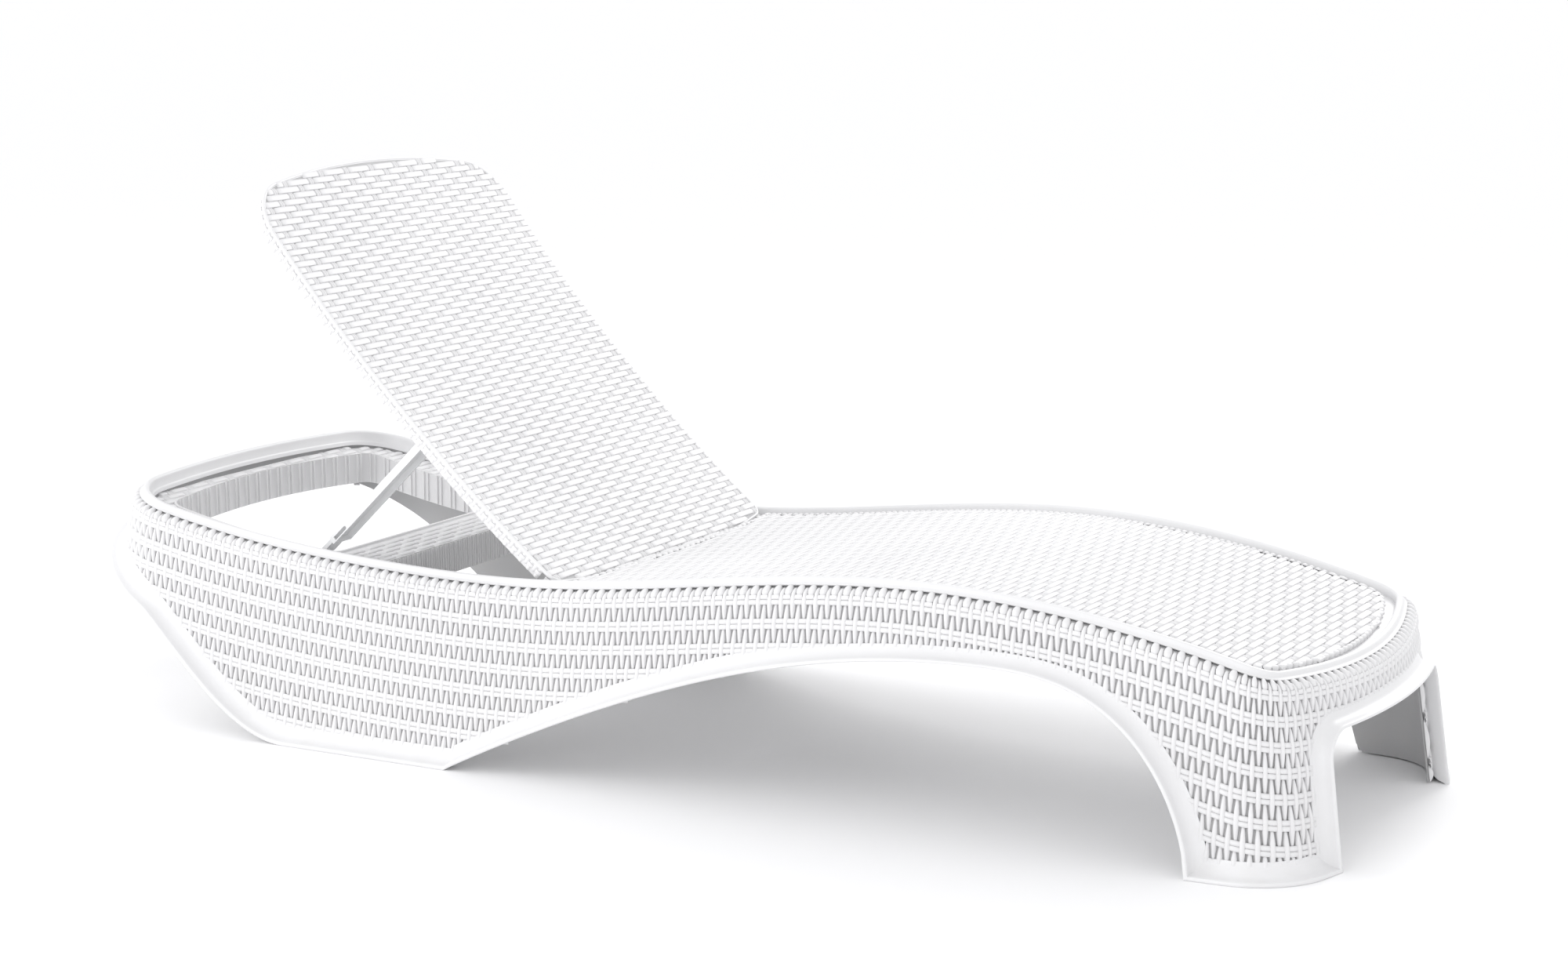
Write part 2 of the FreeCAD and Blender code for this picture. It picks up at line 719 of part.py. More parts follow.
seat_cut = seat_head_cut()
pan_sheet = band(STEP_DROP - PAN_SHEET, STEP_DROP - SEAM, SEAT_START, RIM_LENGTH + 5.0)
nodes["seat_pan"] = inside_band.common(pan_sheet).cut(gap_prism(4.0))
deck_sheet = band(DECK_TOP, STEP_DROP - PAN_SHEET - SEAM, HINGE_X, RIM_LENGTH + 5.0)
nodes["seat_deck"] = deck_prism().common(deck_sheet).cut(seat_cut)
front_wall = gap_prism(3.5).cut(gap_prism()).common(band(STEP_DROP, BAND_DROP + SHEET, HINGE_X, GAP_END + 60.0))
nodes["seat_front_wall"] = front_wall.common(box(SEAT_START, GAP_END + 30.0, -400, 400, 0, 700))

# ---- Hinge of the backrest -----------------------------------------------------------------

HINGE_Z = rim_level(HINGE_X) - HINGE_DROP
KNUCKLE_R = HINGE_DROP - BACK_SHEET - 1.0
SOCKET_OUT = half_width(HINGE_X) - BACK_CLEARANCE - 15.0
SOCKET_WIDTH = 14.0
EAR_WIDTH = 12.0
EAR_IN = SOCKET_OUT + 0.5


def rod(x, y0, y1, z, radius):
    """Round bar along Y."""
    return Part.makeCylinder(radius, y1 - y0, V(x - CENTRE_X, y0, z), V(0, 1, 0))


def hinge_socket():
    """Bearing block on the right side ledge."""
    y0 = -SOCKET_OUT
    y1 = y0 + SOCKET_WIDTH
    ledge_top = rim_level(HINGE_X) - BAND_DROP - SEAM
    block = rod(HINGE_X, y0, y1, HINGE_Z, KNUCKLE_R)
    block = block.fuse(box(HINGE_X - KNUCKLE_R, HINGE_X + KNUCKLE_R, y0, y1, ledge_top, HINGE_Z))
    bore = rod(HINGE_X, y0 - 1.0, y1 + 1.0, HINGE_Z, PIN_RADIUS + PIN_CLEARANCE)
    return block.cut(bore)


def hinge_ear():
    """Knuckle under the backrest's lower right corner, with its pin. Drawn folded flat."""
    y1 = -EAR_IN
    y0 = y1 - EAR_WIDTH
    top = rim_level(HINGE_X) - BACK_SHEET
    ear = rod(HINGE_X, y0, y1, HINGE_Z, KNUCKLE_R - 1.0)
    ear = ear.fuse(box(HINGE_X - 18.0, HINGE_X + 3.0, y0, y1, HINGE_Z, top + 2.0))
    ear = ear.cut(band(-40.0, BACK_SHEET, HINGE_X - 60.0, HINGE_X + 60.0))
    pin = rod(HINGE_X, y1 - 1.0, y1 + SOCKET_WIDTH + 1.5, HINGE_Z, PIN_RADIUS)
    return ear.fuse(pin).removeSplitter()


# ---- Backrest, drawn folded flat and then raised -------------------------------------------


def back_prism(inset=0.0):
    x0 = BACK_HEAD_GAP + inset
    return rounded_panel(
        x0, HINGE_X + BACK_END_BOW - inset,
        half_width(0.0) - BACK_CLEARANCE - inset, half_width(HINGE_X) - BACK_CLEARANCE - inset,
        BACK_TOP_CORNER - inset, BACK_END_CORNER - inset, BACK_TOP_BOW, BACK_END_BOW)


def raised(shape):
    """Turn a piece of the backrest from folded flat to the stored pose."""
    copy = shape.copy()
    copy.rotate(V(HINGE_X - CENTRE_X, 0, HINGE_Z), V(0, 1, 0), BACK_RAISED)
    return copy


BACK_FROM = BACK_HEAD_GAP - 8.0
BACK_TO = HINGE_X + BACK_END_BOW + 8.0
SIDE_WALL_END = HINGE_X - 26.0

whole_back = back_prism()
inner_back = back_prism(BEAD)
back = {}
back["back_panel"] = inner_back.common(band(0.0, BACK_SHEET, BACK_FROM, BACK_TO))
back["back_edge_bead"] = whole_back.cut(inner_back).common(band(-1.5, BACK_SHEET, BACK_FROM, BACK_TO))
wall_band = band(BACK_SHEET, BACK_SIDE_DEPTH, BACK_FROM, SIDE_WALL_END)
back["back_side_wall"] = whole_back.cut(back_prism(BACK_SIDE_WALL)).common(wall_band)
back["hinge_ear_right"] = hinge_ear()
back["hinge_ear_left"] = mirrored(back["hinge_ear_right"])

# ---- Prop arms -----------------------------------------------------------------------------

ARM_X = HINGE_X - ARM_PLACE
ARM_Z = rim_level(ARM_X) - ARM_DROP
ARM_END_X = ARM_X - ARM_REACH
ARM_RISE = math.degrees(math.atan2(rim_level(ARM_END_X) - rim_level(ARM_X), ARM_REACH))
ARM_PIN_R = 3.0
LUG_LENGTH = 17.0
ARM_INNER = ARM_OUTER - ARM_WIDTH


def arm_pivot_rest():
    """The arm pivot in the stored pose."""
    point = Part.Vertex(V(ARM_X - CENTRE_X, 0, ARM_Z))
    return raised(point).Point


def back_lug():
    """Bracket under the backrest that carries the right arm's pin. Drawn folded flat."""
    half = 0.5 * ARM_WIDTH - ARM_SHEET - LUG_GAP
    mid = -0.5 * (ARM_OUTER + ARM_INNER)
    top = rim_level(ARM_X) - BACK_SHEET
    lug = rod(ARM_X, mid - half, mid + half, ARM_Z, 5.0)
    lug = lug.fuse(box(ARM_X - 5.0, ARM_X + 5.0, mid - half, mid + half, ARM_Z, top + 2.0))
    lug = lug.cut(band(-40.0, BACK_SHEET, ARM_X - 60.0, ARM_X + 60.0))
    return lug.fuse(rod(ARM_X, -ARM_OUTER + 0.3, -ARM_INNER - 0.3, ARM_Z, ARM_PIN_R)).removeSplitter()


def prop_arm():
    """Right prop arm: a channel with its open side down, then a flat blade. Drawn folded flat."""
    y0 = -ARM_OUTER
    y1 = -ARM_INNER
    high = ARM_Z + 0.5 * ARM_THICK
    low = ARM_Z - 0.5 * ARM_THICK
    r = 0.5 * ARM_THICK
    channel_end = ARM_X - ARM_REACH + BLADE_LENGTH
    outer = box(channel_end, ARM_X, y0, y1, low, high).fuse(rod(ARM_X, y0, y1, ARM_Z, r))
    hollow = box(channel_end + ARM_SHEET, ARM_X + 20.0, y0 + ARM_SHEET, y1 - ARM_SHEET, low - 5.0, high - ARM_SHEET)
    mouth = box(ARM_X - LUG_LENGTH, ARM_X + 20.0, y0 + ARM_SHEET, y1 - ARM_SHEET, low - 5.0, high + 5.0)
    arm = outer.cut(hollow).cut(mouth)
    blade = box(ARM_END_X + 4.0, channel_end, y0 + 6.0, y1 - 6.0, high - 6.0, high)
    blade = blade.fuse(rod(ARM_END_X + 4.0, y0 + 6.0, y1 - 6.0, high - 3.0, 3.0))
    slot_x = channel_end + 7.0
    slot_z = ARM_Z - 1.2
    slot = box(slot_x, slot_x + SLOT_LENGTH, y0 - 1.0, y0 + ARM_SHEET + 1.0,
               slot_z - 0.5 * SLOT_WIDTH, slot_z + 0.5 * SLOT_WIDTH)
    slot = slot.fuse(rod(slot_x + SLOT_LENGTH, y0 - 1.0, y0 + ARM_SHEET + 1.0, slot_z, 0.5 * SLOT_WIDTH))
    arm = arm.cut(slot).fuse(blade)
    bore = rod(ARM_X, y0 - 1.0, y1 + 1.0, ARM_Z, ARM_PIN_R + PIN_CLEARANCE)
    arm = arm.cut(bore).removeSplitter()
    arm.rotate(V(ARM_X - CENTRE_X, 0, ARM_Z), V(0, 1, 0), ARM_RISE)
    return arm


def swung(shape):
    """Turn an arm from folded to the stored pose, about its pivot."""
    copy = shape.copy()
    copy.rotate(V(ARM_X - CENTRE_X, 0, ARM_Z), V(0, 1, 0), -ARM_FOLD)
    return raised(copy)


back["arm_lug_right"] = back_lug()
back["arm_lug_left"] = mirrored(back["arm_lug_right"])


def prop_rest():
    """Pad on the right side ledge under the arm's tip. It fits inside the folded channel."""
    folded = Part.Vertex(V(ARM_END_X - CENTRE_X, 0, ARM_Z))
    folded.rotate(V(ARM_X - CENTRE_X, 0, ARM_Z), V(0, 1, 0), ARM_RISE)
    tip = swung(folded).Point.x + CENTRE_X
    mid = -0.5 * (ARM_OUTER + ARM_INNER)
    x0 = tip - 4.0
    spot = box(x0, x0 + REST_LENGTH, mid - 0.5 * REST_WIDTH, mid + 0.5 * REST_WIDTH, 0, 700)
    return spot.common(band(BAND_DROP - REST_HEIGHT, BAND_DROP + SEAM, x0 - 60.0, x0 + REST_LENGTH + 60.0))


for name, shape in back.items():
    nodes[name] = raised(shape)

nodes["hinge_socket_right"] = hinge_socket().cut(nodes["ledge_side_right"])
nodes["hinge_socket_left"] = mirrored(nodes["hinge_socket_right"])
nodes["prop_rest_right"] = prop_rest()
nodes["prop_rest_left"] = mirrored(nodes["prop_rest_right"])
nodes["prop_arm_right"] = swung(prop_arm())
nodes["prop_arm_left"] = mirrored(nodes["prop_arm_right"])

# ---- Write the pieces ----------------------------------------------------------------------

pivot = arm_pivot_rest()
print("hinge", round(HINGE_X - CENTRE_X, 3), round(HINGE_Z, 3))
print("arm pivot", round(pivot.x, 3), round(pivot.z, 3))
whole = Part.makeCompound(list(nodes.values())).BoundBox
print("whole", whole)
for name, shape in nodes.items():
    print(name, shape.isValid(), len(shape.Solids), len(shape.Faces), round(shape.Volume / 1000.0, 1))
    cleaned(shape).exportStep("parts/" + name + ".step")
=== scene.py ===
"""Looks of a reclining sun lounger in white moulded resin with a woven relief, built on its CAD frame."""

import logging
import math
from dataclasses import dataclass, field
from enum import Enum
from typing import Callable, Sequence

import bpy
import numpy as np
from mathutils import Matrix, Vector


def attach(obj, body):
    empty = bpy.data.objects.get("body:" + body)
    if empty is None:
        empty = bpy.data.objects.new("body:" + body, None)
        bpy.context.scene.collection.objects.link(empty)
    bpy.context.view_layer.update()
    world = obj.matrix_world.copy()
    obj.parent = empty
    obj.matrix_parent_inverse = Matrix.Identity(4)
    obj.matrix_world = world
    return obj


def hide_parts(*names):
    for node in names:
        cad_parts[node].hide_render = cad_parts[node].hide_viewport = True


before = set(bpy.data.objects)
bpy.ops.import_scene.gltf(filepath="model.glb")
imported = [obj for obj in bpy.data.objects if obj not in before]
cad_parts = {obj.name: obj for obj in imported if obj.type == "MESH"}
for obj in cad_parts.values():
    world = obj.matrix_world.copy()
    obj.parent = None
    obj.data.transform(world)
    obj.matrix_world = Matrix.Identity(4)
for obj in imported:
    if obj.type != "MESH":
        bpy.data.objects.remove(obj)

logging.basicConfig(level=logging.INFO, format="%(message)s")
LOG = logging.getLogger("lounger")
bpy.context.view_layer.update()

Array = np.ndarray


class Slot(Enum):
    """Material slots of the record."""

    SMOOTH = "smooth_resin"
    WOVEN = "woven_resin"


class Body(Enum):
    """Bodies that the pieces move with."""

    BASE = "base"
    BACKREST = "backrest"
    PROP_RIGHT = "prop_right"
    PROP_LEFT = "prop_left"


# ---- Sizes, in millimetres, the same as in the CAD ------------------------------------------

RIM_LENGTH = 1853.0
HEAD_HALF_WIDTH, FOOT_HALF_WIDTH, SIDE_BOW = 321.0, 268.5, 9.9
MEAN_HALF_WIDTH = (HEAD_HALF_WIDTH + FOOT_HALF_WIDTH) / 2.0
HEAD_BOW, HEAD_CORNER = 28.7, 96.0
FOOT_BOW, FOOT_CORNER = 46.0, 42.0
LIP_HEIGHT = 8.0
SHOULDER_OUT, SHOULDER_DROP, WALL_SLOPE = 19.0, 17.0, 0.14
LIP_FLARE, LIP_BAND, ARCH_BAND = 22.0, 25.0, 17.0
REAR_START, REAR_END = 370.0, 645.0
ARCH_TOP_X, ARCH_TOP, LEG_START = 1432.0, 233.0, 1730.0
HEAD_LOW, RUN_HEAD_LOW = 275.0, 150.0
FOOT_ARCH_HALF, FOOT_ARCH_TOP, FOOT_ARCH_CORNER = 222.0, 174.0, 38.0
FOOT_SLOPE_OUT = 75.0        # how much wider the skirt's foot stands than the rim, at the legs
APRON_LAP = 20.0             # gap between the apron's end and the arch's corner
BAND_DROP = 24.0
DECK_TOP = 7.0
WELL_START, WELL_END, BEAM_END = 36.0, 360.0, 445.0
WELL_DEPTH, WELL_CORNER, WELL_BOW = 44.0, 26.0, 26.0
GAP_CORNER, GAP_BOW = 18.0, 8.0
SIDE_LEDGE = 70.0
HINGE_X, HINGE_DROP = 768.0, 16.0
BACK_SHEET, BACK_SIDE_DEPTH, BEAD = 8.0, 22.0, 5.0
BACK_RAISED = 40.9
BACK_TAIL = 26.0             # the backrest's end, past its hinge line
PANEL_CLEARANCE = 17.0       # edges of the backrest and the deck, in from the rim's outside
SHOULDER_ARC = 28.3          # length of the skirt's rounded shoulder, down its section
GIRTH_OUT = 35.0             # how far out the middle of the skirt stands
FOOT_RADIUS = (MEAN_HALF_WIDTH**2 + FOOT_BOW**2) / (2.0 * FOOT_BOW)


def smooth_level(x: Array) -> Array:
    """Height of the rim above the floor.

    Args:
        x: Places along the length, from the rim's head end.

    Returns:
        The rim's height at each place.
    """
    xs = np.array([0.0, 228.0, 500.0, 774.0, 1046.0, 1320.0, 1565.0, 1853.0])
    zs = np.array([342.0, 295.0, 269.5, 269.5, 300.0, 323.5, 306.5, 241.0])
    slopes = np.array([-0.265205, -0.14898, -0.049205, 0.064302, 0.128975, 0.013598, -0.144934, -0.312361])
    x = np.clip(np.asarray(x, float), 0.0, RIM_LENGTH)
    i = np.clip(np.searchsorted(xs, x, side="right") - 1, 0, len(xs) - 2)
    span = xs[i + 1] - xs[i]
    u = (x - xs[i]) / span
    return (
        zs[i] * (1.0 + 2.0 * u) * (1.0 - u) ** 2
        + slopes[i] * span * u * (1.0 - u) ** 2
        + zs[i + 1] * u * u * (3.0 - 2.0 * u)
        + slopes[i + 1] * span * u * u * (u - 1.0)
    )


def half_width(x: Array) -> Array:
    """Half the rim's width at a place along the length."""
    taper = HEAD_HALF_WIDTH + (FOOT_HALF_WIDTH - HEAD_HALF_WIDTH) * x / RIM_LENGTH
    middle = (2.0 * x - RIM_LENGTH) / RIM_LENGTH
    return taper + SIDE_BOW * (1.0 - middle * middle)


def rounded_outline(
    x0: float, x1: float, half0: float, half1: float, corner0: float, corner1: float, bow0: float, bow1: float
) -> Array:
    """Right half of a panel outline, from the middle of its head end to the middle of its foot end.

    Args:
        x0, x1: The two ends, at the middle.
        half0, half1: Half widths at the two ends.
        corner0, corner1: Corner radii.
        bow0, bow1: How far each end bows out over its width.

    Returns:
        Points (x, y) with y positive, about 2 mm apart.
    """

    def end(half: float, corner: float, bow: float) -> Array:
        """One bowed end with its rounded corner, from its middle outwards."""
        radius = (half * half + bow * bow) / (2.0 * bow)
        turn = math.asin((half - corner) / (radius - corner))
        a = np.linspace(0.0, turn, 90)
        cx = radius - (radius - corner) * math.cos(turn)
        b = np.linspace(turn, math.pi / 2.0, 24)[1:]
        xs = np.concatenate([radius - radius * np.cos(a), cx - corner * np.cos(b)])
        ys = np.concatenate([radius * np.sin(a), half - corner + corner * np.sin(b)])
        return np.stack([xs, ys], 1)

    head = end(half0, corner0, bow0)
    foot = end(half1, corner1, bow1)
    head[:, 0] = x0 + head[:, 0]
    foot[:, 0] = x1 - foot[:, 0]
    side = np.linspace(0.0, 1.0, 160)[1:-1, None]
    line = head[-1] + (foot[-1] - head[-1]) * side
    return np.concatenate([head, line, foot[::-1]])


class RimPath:
    """Plan outline of the rim, measured along itself from the head; negative on the left side."""

    def __init__(self) -> None:
        """Samples the outline every millimetre, with its outward direction."""
        half = rounded_outline(
            0.0, RIM_LENGTH, MEAN_HALF_WIDTH, MEAN_HALF_WIDTH, HEAD_CORNER, FOOT_CORNER, HEAD_BOW, FOOT_BOW
        )
        step = np.hypot(*np.diff(half, axis=0).T)
        run = np.concatenate([[0.0], np.cumsum(step)])
        self.length = float(run[-1])
        scale = half_width(half[:, 0]) / MEAN_HALF_WIDTH
        xs = np.concatenate([half[::-1, 0], half[1:, 0]])
        ys = np.concatenate([(half[:, 1] * scale)[::-1], -(half[:, 1] * scale)[1:]])
        runs = np.concatenate([-run[::-1], run[1:]])
        self.runs = np.arange(-self.length, self.length + 0.01, 1.0)
        self.x = np.interp(self.runs, runs, xs)
        self.y = np.interp(self.runs, runs, ys)
        kernel = np.ones(9) / 9.0
        dx = np.gradient(np.pad(self.x, 4, mode="reflect", reflect_type="odd"))
        dy = np.gradient(np.pad(self.y, 4, mode="reflect", reflect_type="odd"))
        dx = np.convolve(dx, kernel, mode="valid")
        dy = np.convolve(dy, kernel, mode="valid")
        size = np.hypot(dx, dy)
        self.nx = dy / size
        self.ny = -dx / size

    def wrap(self, run: Array) -> Array:
        """Brings any distance round the outline into its range."""
        return (np.asarray(run, float) + self.length) % (2.0 * self.length) - self.length

    def at(self, run: Array) -> tuple[Array, Array, Array, Array]:
        """Place and outward direction at a distance along the outline.

        Args:
            run: Distances along it.

        Returns:
            x, y and the two parts of the outward direction.
        """
        run = self.wrap(run)
        x = np.interp(run, self.runs, self.x)
        y = np.interp(run, self.runs, self.y)
        nx = np.interp(run, self.runs, self.nx)
        ny = np.interp(run, self.runs, self.ny)
        size = np.hypot(nx, ny)
        return x, y, nx / size, ny / size

    def run_at(self, x: float) -> float:
        """Distance along the outline to a place on the right long side."""
        start = len(self.runs) // 2
        return float(np.interp(x, self.x[start:], self.runs[start:]))

    def place(self, run: Array, out: Array, z: Array) -> Array:
        """Point in space, in metres in the frame, from a run, an outward distance and a height."""
        x, y, nx, ny = self.at(run)
        return to_frame(x + nx * out, y + ny * out, z)

    def level(self, run: Array) -> Array:
        """Rim height at a distance along the outline."""
        return smooth_level(self.at(run)[0])

    def girth(self) -> Array:
        """Distance along the line that runs half way down the skirt, for every entry of runs."""
        x, y = self.x + self.nx * GIRTH_OUT, self.y + self.ny * GIRTH_OUT
        total = np.concatenate([[0.0], np.cumsum(np.hypot(np.diff(x), np.diff(y)))])
        return total - total[len(total) // 2]


def to_frame(x: Array, y: Array, z: Array) -> Array:
    """Millimetres from the rim's head end to metres in the frame."""
    x, y, z = np.broadcast_arrays(x, y, z)
    return np.stack([x - RIM_LENGTH / 2.0, y, z], -1) / 1000.0


RIM = RimPath()
RUN_REAR_START = RIM.run_at(REAR_START)
RUN_REAR_END = RIM.run_at(REAR_END)
RUN_ARCH_TOP = RIM.run_at(ARCH_TOP_X)
RUN_LEG = RIM.run_at(LEG_START)
RUN_LEG_END = RIM.length - FOOT_RADIUS * math.asin(
    FOOT_ARCH_HALF / (FOOT_RADIUS * FOOT_HALF_WIDTH / MEAN_HALF_WIDTH + FOOT_SLOPE_OUT)
)
RUN_HEAD_END = 370.19        # where the head skirt meets the side skirts
RUN_APRON = RIM.length - FOOT_RADIUS * math.asin((FOOT_ARCH_HALF - FOOT_ARCH_CORNER - APRON_LAP) / FOOT_RADIUS)


def edge_level(run: Array) -> Array:
    """Height of the body's lower edge, without the foot arch.

    Args:
        run: Distances along the rim.

    Returns:
        The edge's height above the floor.
    """
    run = np.abs(RIM.wrap(run))
    u = np.clip((run - RUN_HEAD_LOW) / (RUN_REAR_START - RUN_HEAD_LOW), 0.0, 1.0)
    rear = HEAD_LOW * (1.0 - u * u * (3.0 - 2.0 * u))
    u = np.clip((run - RUN_REAR_END) / (RUN_ARCH_TOP - RUN_REAR_END), 0.0, 1.0)
    rise = ARCH_TOP * np.sin(math.pi / 2.0 * u) ** 0.95
    u = np.clip((run - RUN_ARCH_TOP) / (RUN_LEG - RUN_ARCH_TOP), 0.0, 1.0)
    fall = ARCH_TOP * np.clip(1.0 - u**2.7, 0.0, 1.0) ** (1.0 / 1.55)
    return np.where(run < RUN_REAR_END, rear, np.where(run < RUN_ARCH_TOP, rise, fall))


def lower_edge(run: Array) -> Array:
    """Height of the body's lower edge, with the foot arch.

    Args:
        run: Distances along the rim.

    Returns:
        The edge's height above the floor.
    """
    run = np.abs(RIM.wrap(run))
    d = np.clip(run - RUN_LEG_END, 0.0, FOOT_ARCH_CORNER)
    arch = FOOT_ARCH_TOP - FOOT_ARCH_CORNER + np.sqrt(FOOT_ARCH_CORNER**2 - (FOOT_ARCH_CORNER - d) ** 2)
    return np.where(run > RUN_LEG_END, arch, edge_level(run))


# ---- Surfaces that strands lie on -----------------------------------------------------------

Surface = Callable[[Array, Array, Array], Array]
Spans = Callable[[float], list[tuple[float, float]]]


def skirt_section(v: Array) -> tuple[Array, Array, Array, Array]:
    """Section of the skirt, measured down from the rim.

    Args:
        v: Distance down the skirt: over the shoulder, then down the wall.

    Returns:
        Outward distance, drop below the lip, and the outward and upward parts of the normal.
    """
    turn = np.clip(v / SHOULDER_ARC, 0.0, 1.0) * math.pi / 2.0
    below = np.maximum(v - SHOULDER_ARC, 0.0)
    out = SHOULDER_OUT * np.sin(turn) + WALL_SLOPE * below
    drop = SHOULDER_DROP * (1.0 - np.cos(turn)) + below
    tilt = WALL_SLOPE * np.clip(below / 6.0, 0.0, 1.0)
    n_out = np.sin(turn)
    n_up = np.cos(turn) * SHOULDER_OUT / SHOULDER_DROP + tilt
    size = np.hypot(n_out, n_up)
    return out, drop, n_out / size, n_up / size


def skirt_surface(run: Array, v: Array, h: Array) -> Array:
    """Point over the skirt.

    Args:
        run: Distance along the rim.
        v: Distance down the skirt.
        h: Height off its surface.

    Returns:
        Points in the frame, in metres.
    """
    out, drop, n_out, n_up = skirt_section(v)
    z = RIM.level(run) - LIP_HEIGHT - drop + h * n_up
    return RIM.place(run, out + h * n_out, z)


def skirt_end(run: Array) -> Array:
    """How far down the skirt its lower edge is."""
    return SHOULDER_ARC + RIM.level(run) - LIP_HEIGHT - SHOULDER_DROP - lower_edge(run) - 3.0


def turn_up(points: Array) -> Array:
    """Turns points of the folded backrest up to its place at rest.

    Args:
        points: Points (..., 3) in metres.

    Returns:
        The turned points.
    """
    hinge = np.array([HINGE_X - RIM_LENGTH / 2.0, 0.0, float(smooth_level(HINGE_X)) - HINGE_DROP]) / 1000.0
    a = math.radians(BACK_RAISED)
    p = points - hinge
    x = p[..., 0] * math.cos(a) + p[..., 2] * math.sin(a)
    z = -p[..., 0] * math.sin(a) + p[..., 2] * math.cos(a)
    return np.stack([x, p[..., 1], z], -1) + hinge


@dataclass(frozen=True)
class Sheet:
    """A sheet that follows the rim's level, some depth below it.

    Attributes:
        drop: Depth of its face below the rim.
        raised: True when it belongs to the backrest.
    """

    drop: float
    raised: bool = False

    def surface(self, x: Array, y: Array, h: Array) -> Array:
        """Point over the sheet.

        Args:
            x, y: Place along the length and across the width.
            h: Height off the face, square to it.

        Returns:
            Points in the frame, in metres.
        """
        x, y, h = np.broadcast_arrays(np.asarray(x, float), y, h)
        slope = (smooth_level(x + 1.0) - smooth_level(x - 1.0)) / 2.0
        size = np.sqrt(1.0 + slope * slope)
        points = to_frame(x - slope / size * h, y, smooth_level(x) - self.drop + h / size)
        return turn_up(points) if self.raised else points

    def below(self, x: Array, y: Array, v: Array) -> Array:
        """Point straight below the face by v, plumb when the sheet lies flat."""
        points = to_frame(x, y, smooth_level(x) - self.drop - v)
        return turn_up(points) if self.raised else points


@dataclass
class Panel:
    """A rounded, tapered panel outline with ways to measure it.

    Attributes:
        half: Right half outline, points (x, y) from the head to the foot.
    """

    half: Array
    runs: Array = field(init=False)

    def __post_init__(self) -> None:
        """Measures the distance along the outline."""
        step = np.hypot(*np.diff(self.half, axis=0).T)
        self.runs = np.concatenate([[0.0], np.cumsum(step)])

    def width(self, x: Array) -> Array:
        """Half the panel's width at a place along the length.

        Args:
            x: Places along the length.

        Returns:
            Half widths; zero outside the panel.
        """
        xs, ys = self.half[:, 0], self.half[:, 1]
        inside = (x >= xs[0]) & (x <= xs[-1])
        return np.where(inside, np.interp(x, xs, ys), 0.0)

    @property
    def length(self) -> float:
        """Length of the whole outline."""
        return 2.0 * float(self.runs[-1])

    def at(self, run: Array) -> tuple[Array, Array, Array, Array]:
        """Place and outward direction on the outline.

        Args:
            run: Distances along it, counted from the head over the right side.

        Returns:
            x, y and the two parts of the outward direction.
        """
        run = np.asarray(run, float) % self.length
        end = self.length / 2.0
        left = run > end
        s = np.where(left, self.length - run, run)

        def spot(at: Array) -> tuple[Array, Array]:
            """Point of the right half, or its mirror just past either end."""
            folded = np.where(at < 0.0, -at, np.where(at > end, 2.0 * end - at, at))
            past = (at < 0.0) | (at > end)
            px = np.interp(folded, self.runs, self.half[:, 0])
            py = np.interp(folded, self.runs, self.half[:, 1])
            return px, np.where(past, -py, py)

        x, y = spot(s)
        xa, ya = spot(s - 2.0)
        xb, yb = spot(s + 2.0)
        size = np.hypot(xb - xa, yb - ya)
        nx, ny = -(yb - ya) / size, (xb - xa) / size
        side = np.where(left, 1.0, -1.0)
        return x, y * side, nx, ny * side


# ---- Mesh building --------------------------------------------------------------------------


@dataclass
class MeshParts:
    """Collects patches of vertices and faces for one mesh."""

    points: list[Array] = field(default_factory=list)
    faces: list[Array] = field(default_factory=list)
    count: int = 0

    def add(self, points: Array, faces: Array) -> None:
        """Adds points (n, 3) and faces (m, 4) that index into them."""
        self.points.append(points.reshape(-1, 3))
        self.faces.append(faces.reshape(-1, 4) + self.count)
        self.count += points.reshape(-1, 3).shape[0]

    def grid(self, points: Array, closed_u: bool = False, closed_v: bool = False) -> None:
        """Adds a grid of points.

        Args:
            points: Points (..., u, v, 3), each leading index its own grid.
            closed_u, closed_v: True to join the last row or column to the first.
        """
        *lead, nu, nv, _ = points.shape
        index = np.arange(nu * nv).reshape(nu, nv)
        if closed_u:
            index = np.concatenate([index, index[:1]], 0)
        if closed_v:
            index = np.concatenate([index, index[:, :1]], 1)
        quads = np.stack([index[:-1, :-1], index[1:, :-1], index[1:, 1:], index[:-1, 1:]], -1).reshape(-1, 4)
        blocks = int(np.prod(lead)) if lead else 1
        base = np.arange(blocks)[:, None, None] * (nu * nv)
        self.add(points.reshape(-1, 3), (quads[None] + base).reshape(-1, 4))

    def build(self, name: str, angle: float) -> bpy.types.Object:
        """Makes the mesh object.

        Args:
            name: Object name in plain words.
            angle: Edges sharper than this many degrees stay sharp.

        Returns:
            The object, linked to the scene.
        """
        points = np.concatenate(self.points).astype(np.float32)
        faces = np.concatenate(self.faces).astype(np.int32)
        mesh = bpy.data.meshes.new(name)
        mesh.vertices.add(len(points))
        mesh.vertices.foreach_set("co", points.ravel())
        mesh.loops.add(faces.size)
        mesh.loops.foreach_set("vertex_index", faces.ravel())
        mesh.polygons.add(len(faces))
        mesh.polygons.foreach_set("loop_start", np.arange(0, faces.size, 4, dtype=np.int32))
        mesh.polygons.foreach_set("loop_total", np.full(len(faces), 4, np.int32))
        mesh.update(calc_edges=True)
        mesh.validate()
        mesh.shade_smooth()
        mesh.set_sharp_from_angle(angle=math.radians(angle))
        obj = bpy.data.objects.new(name.replace(" ", "_"), mesh)
        bpy.context.scene.collection.objects.link(obj)
        return obj


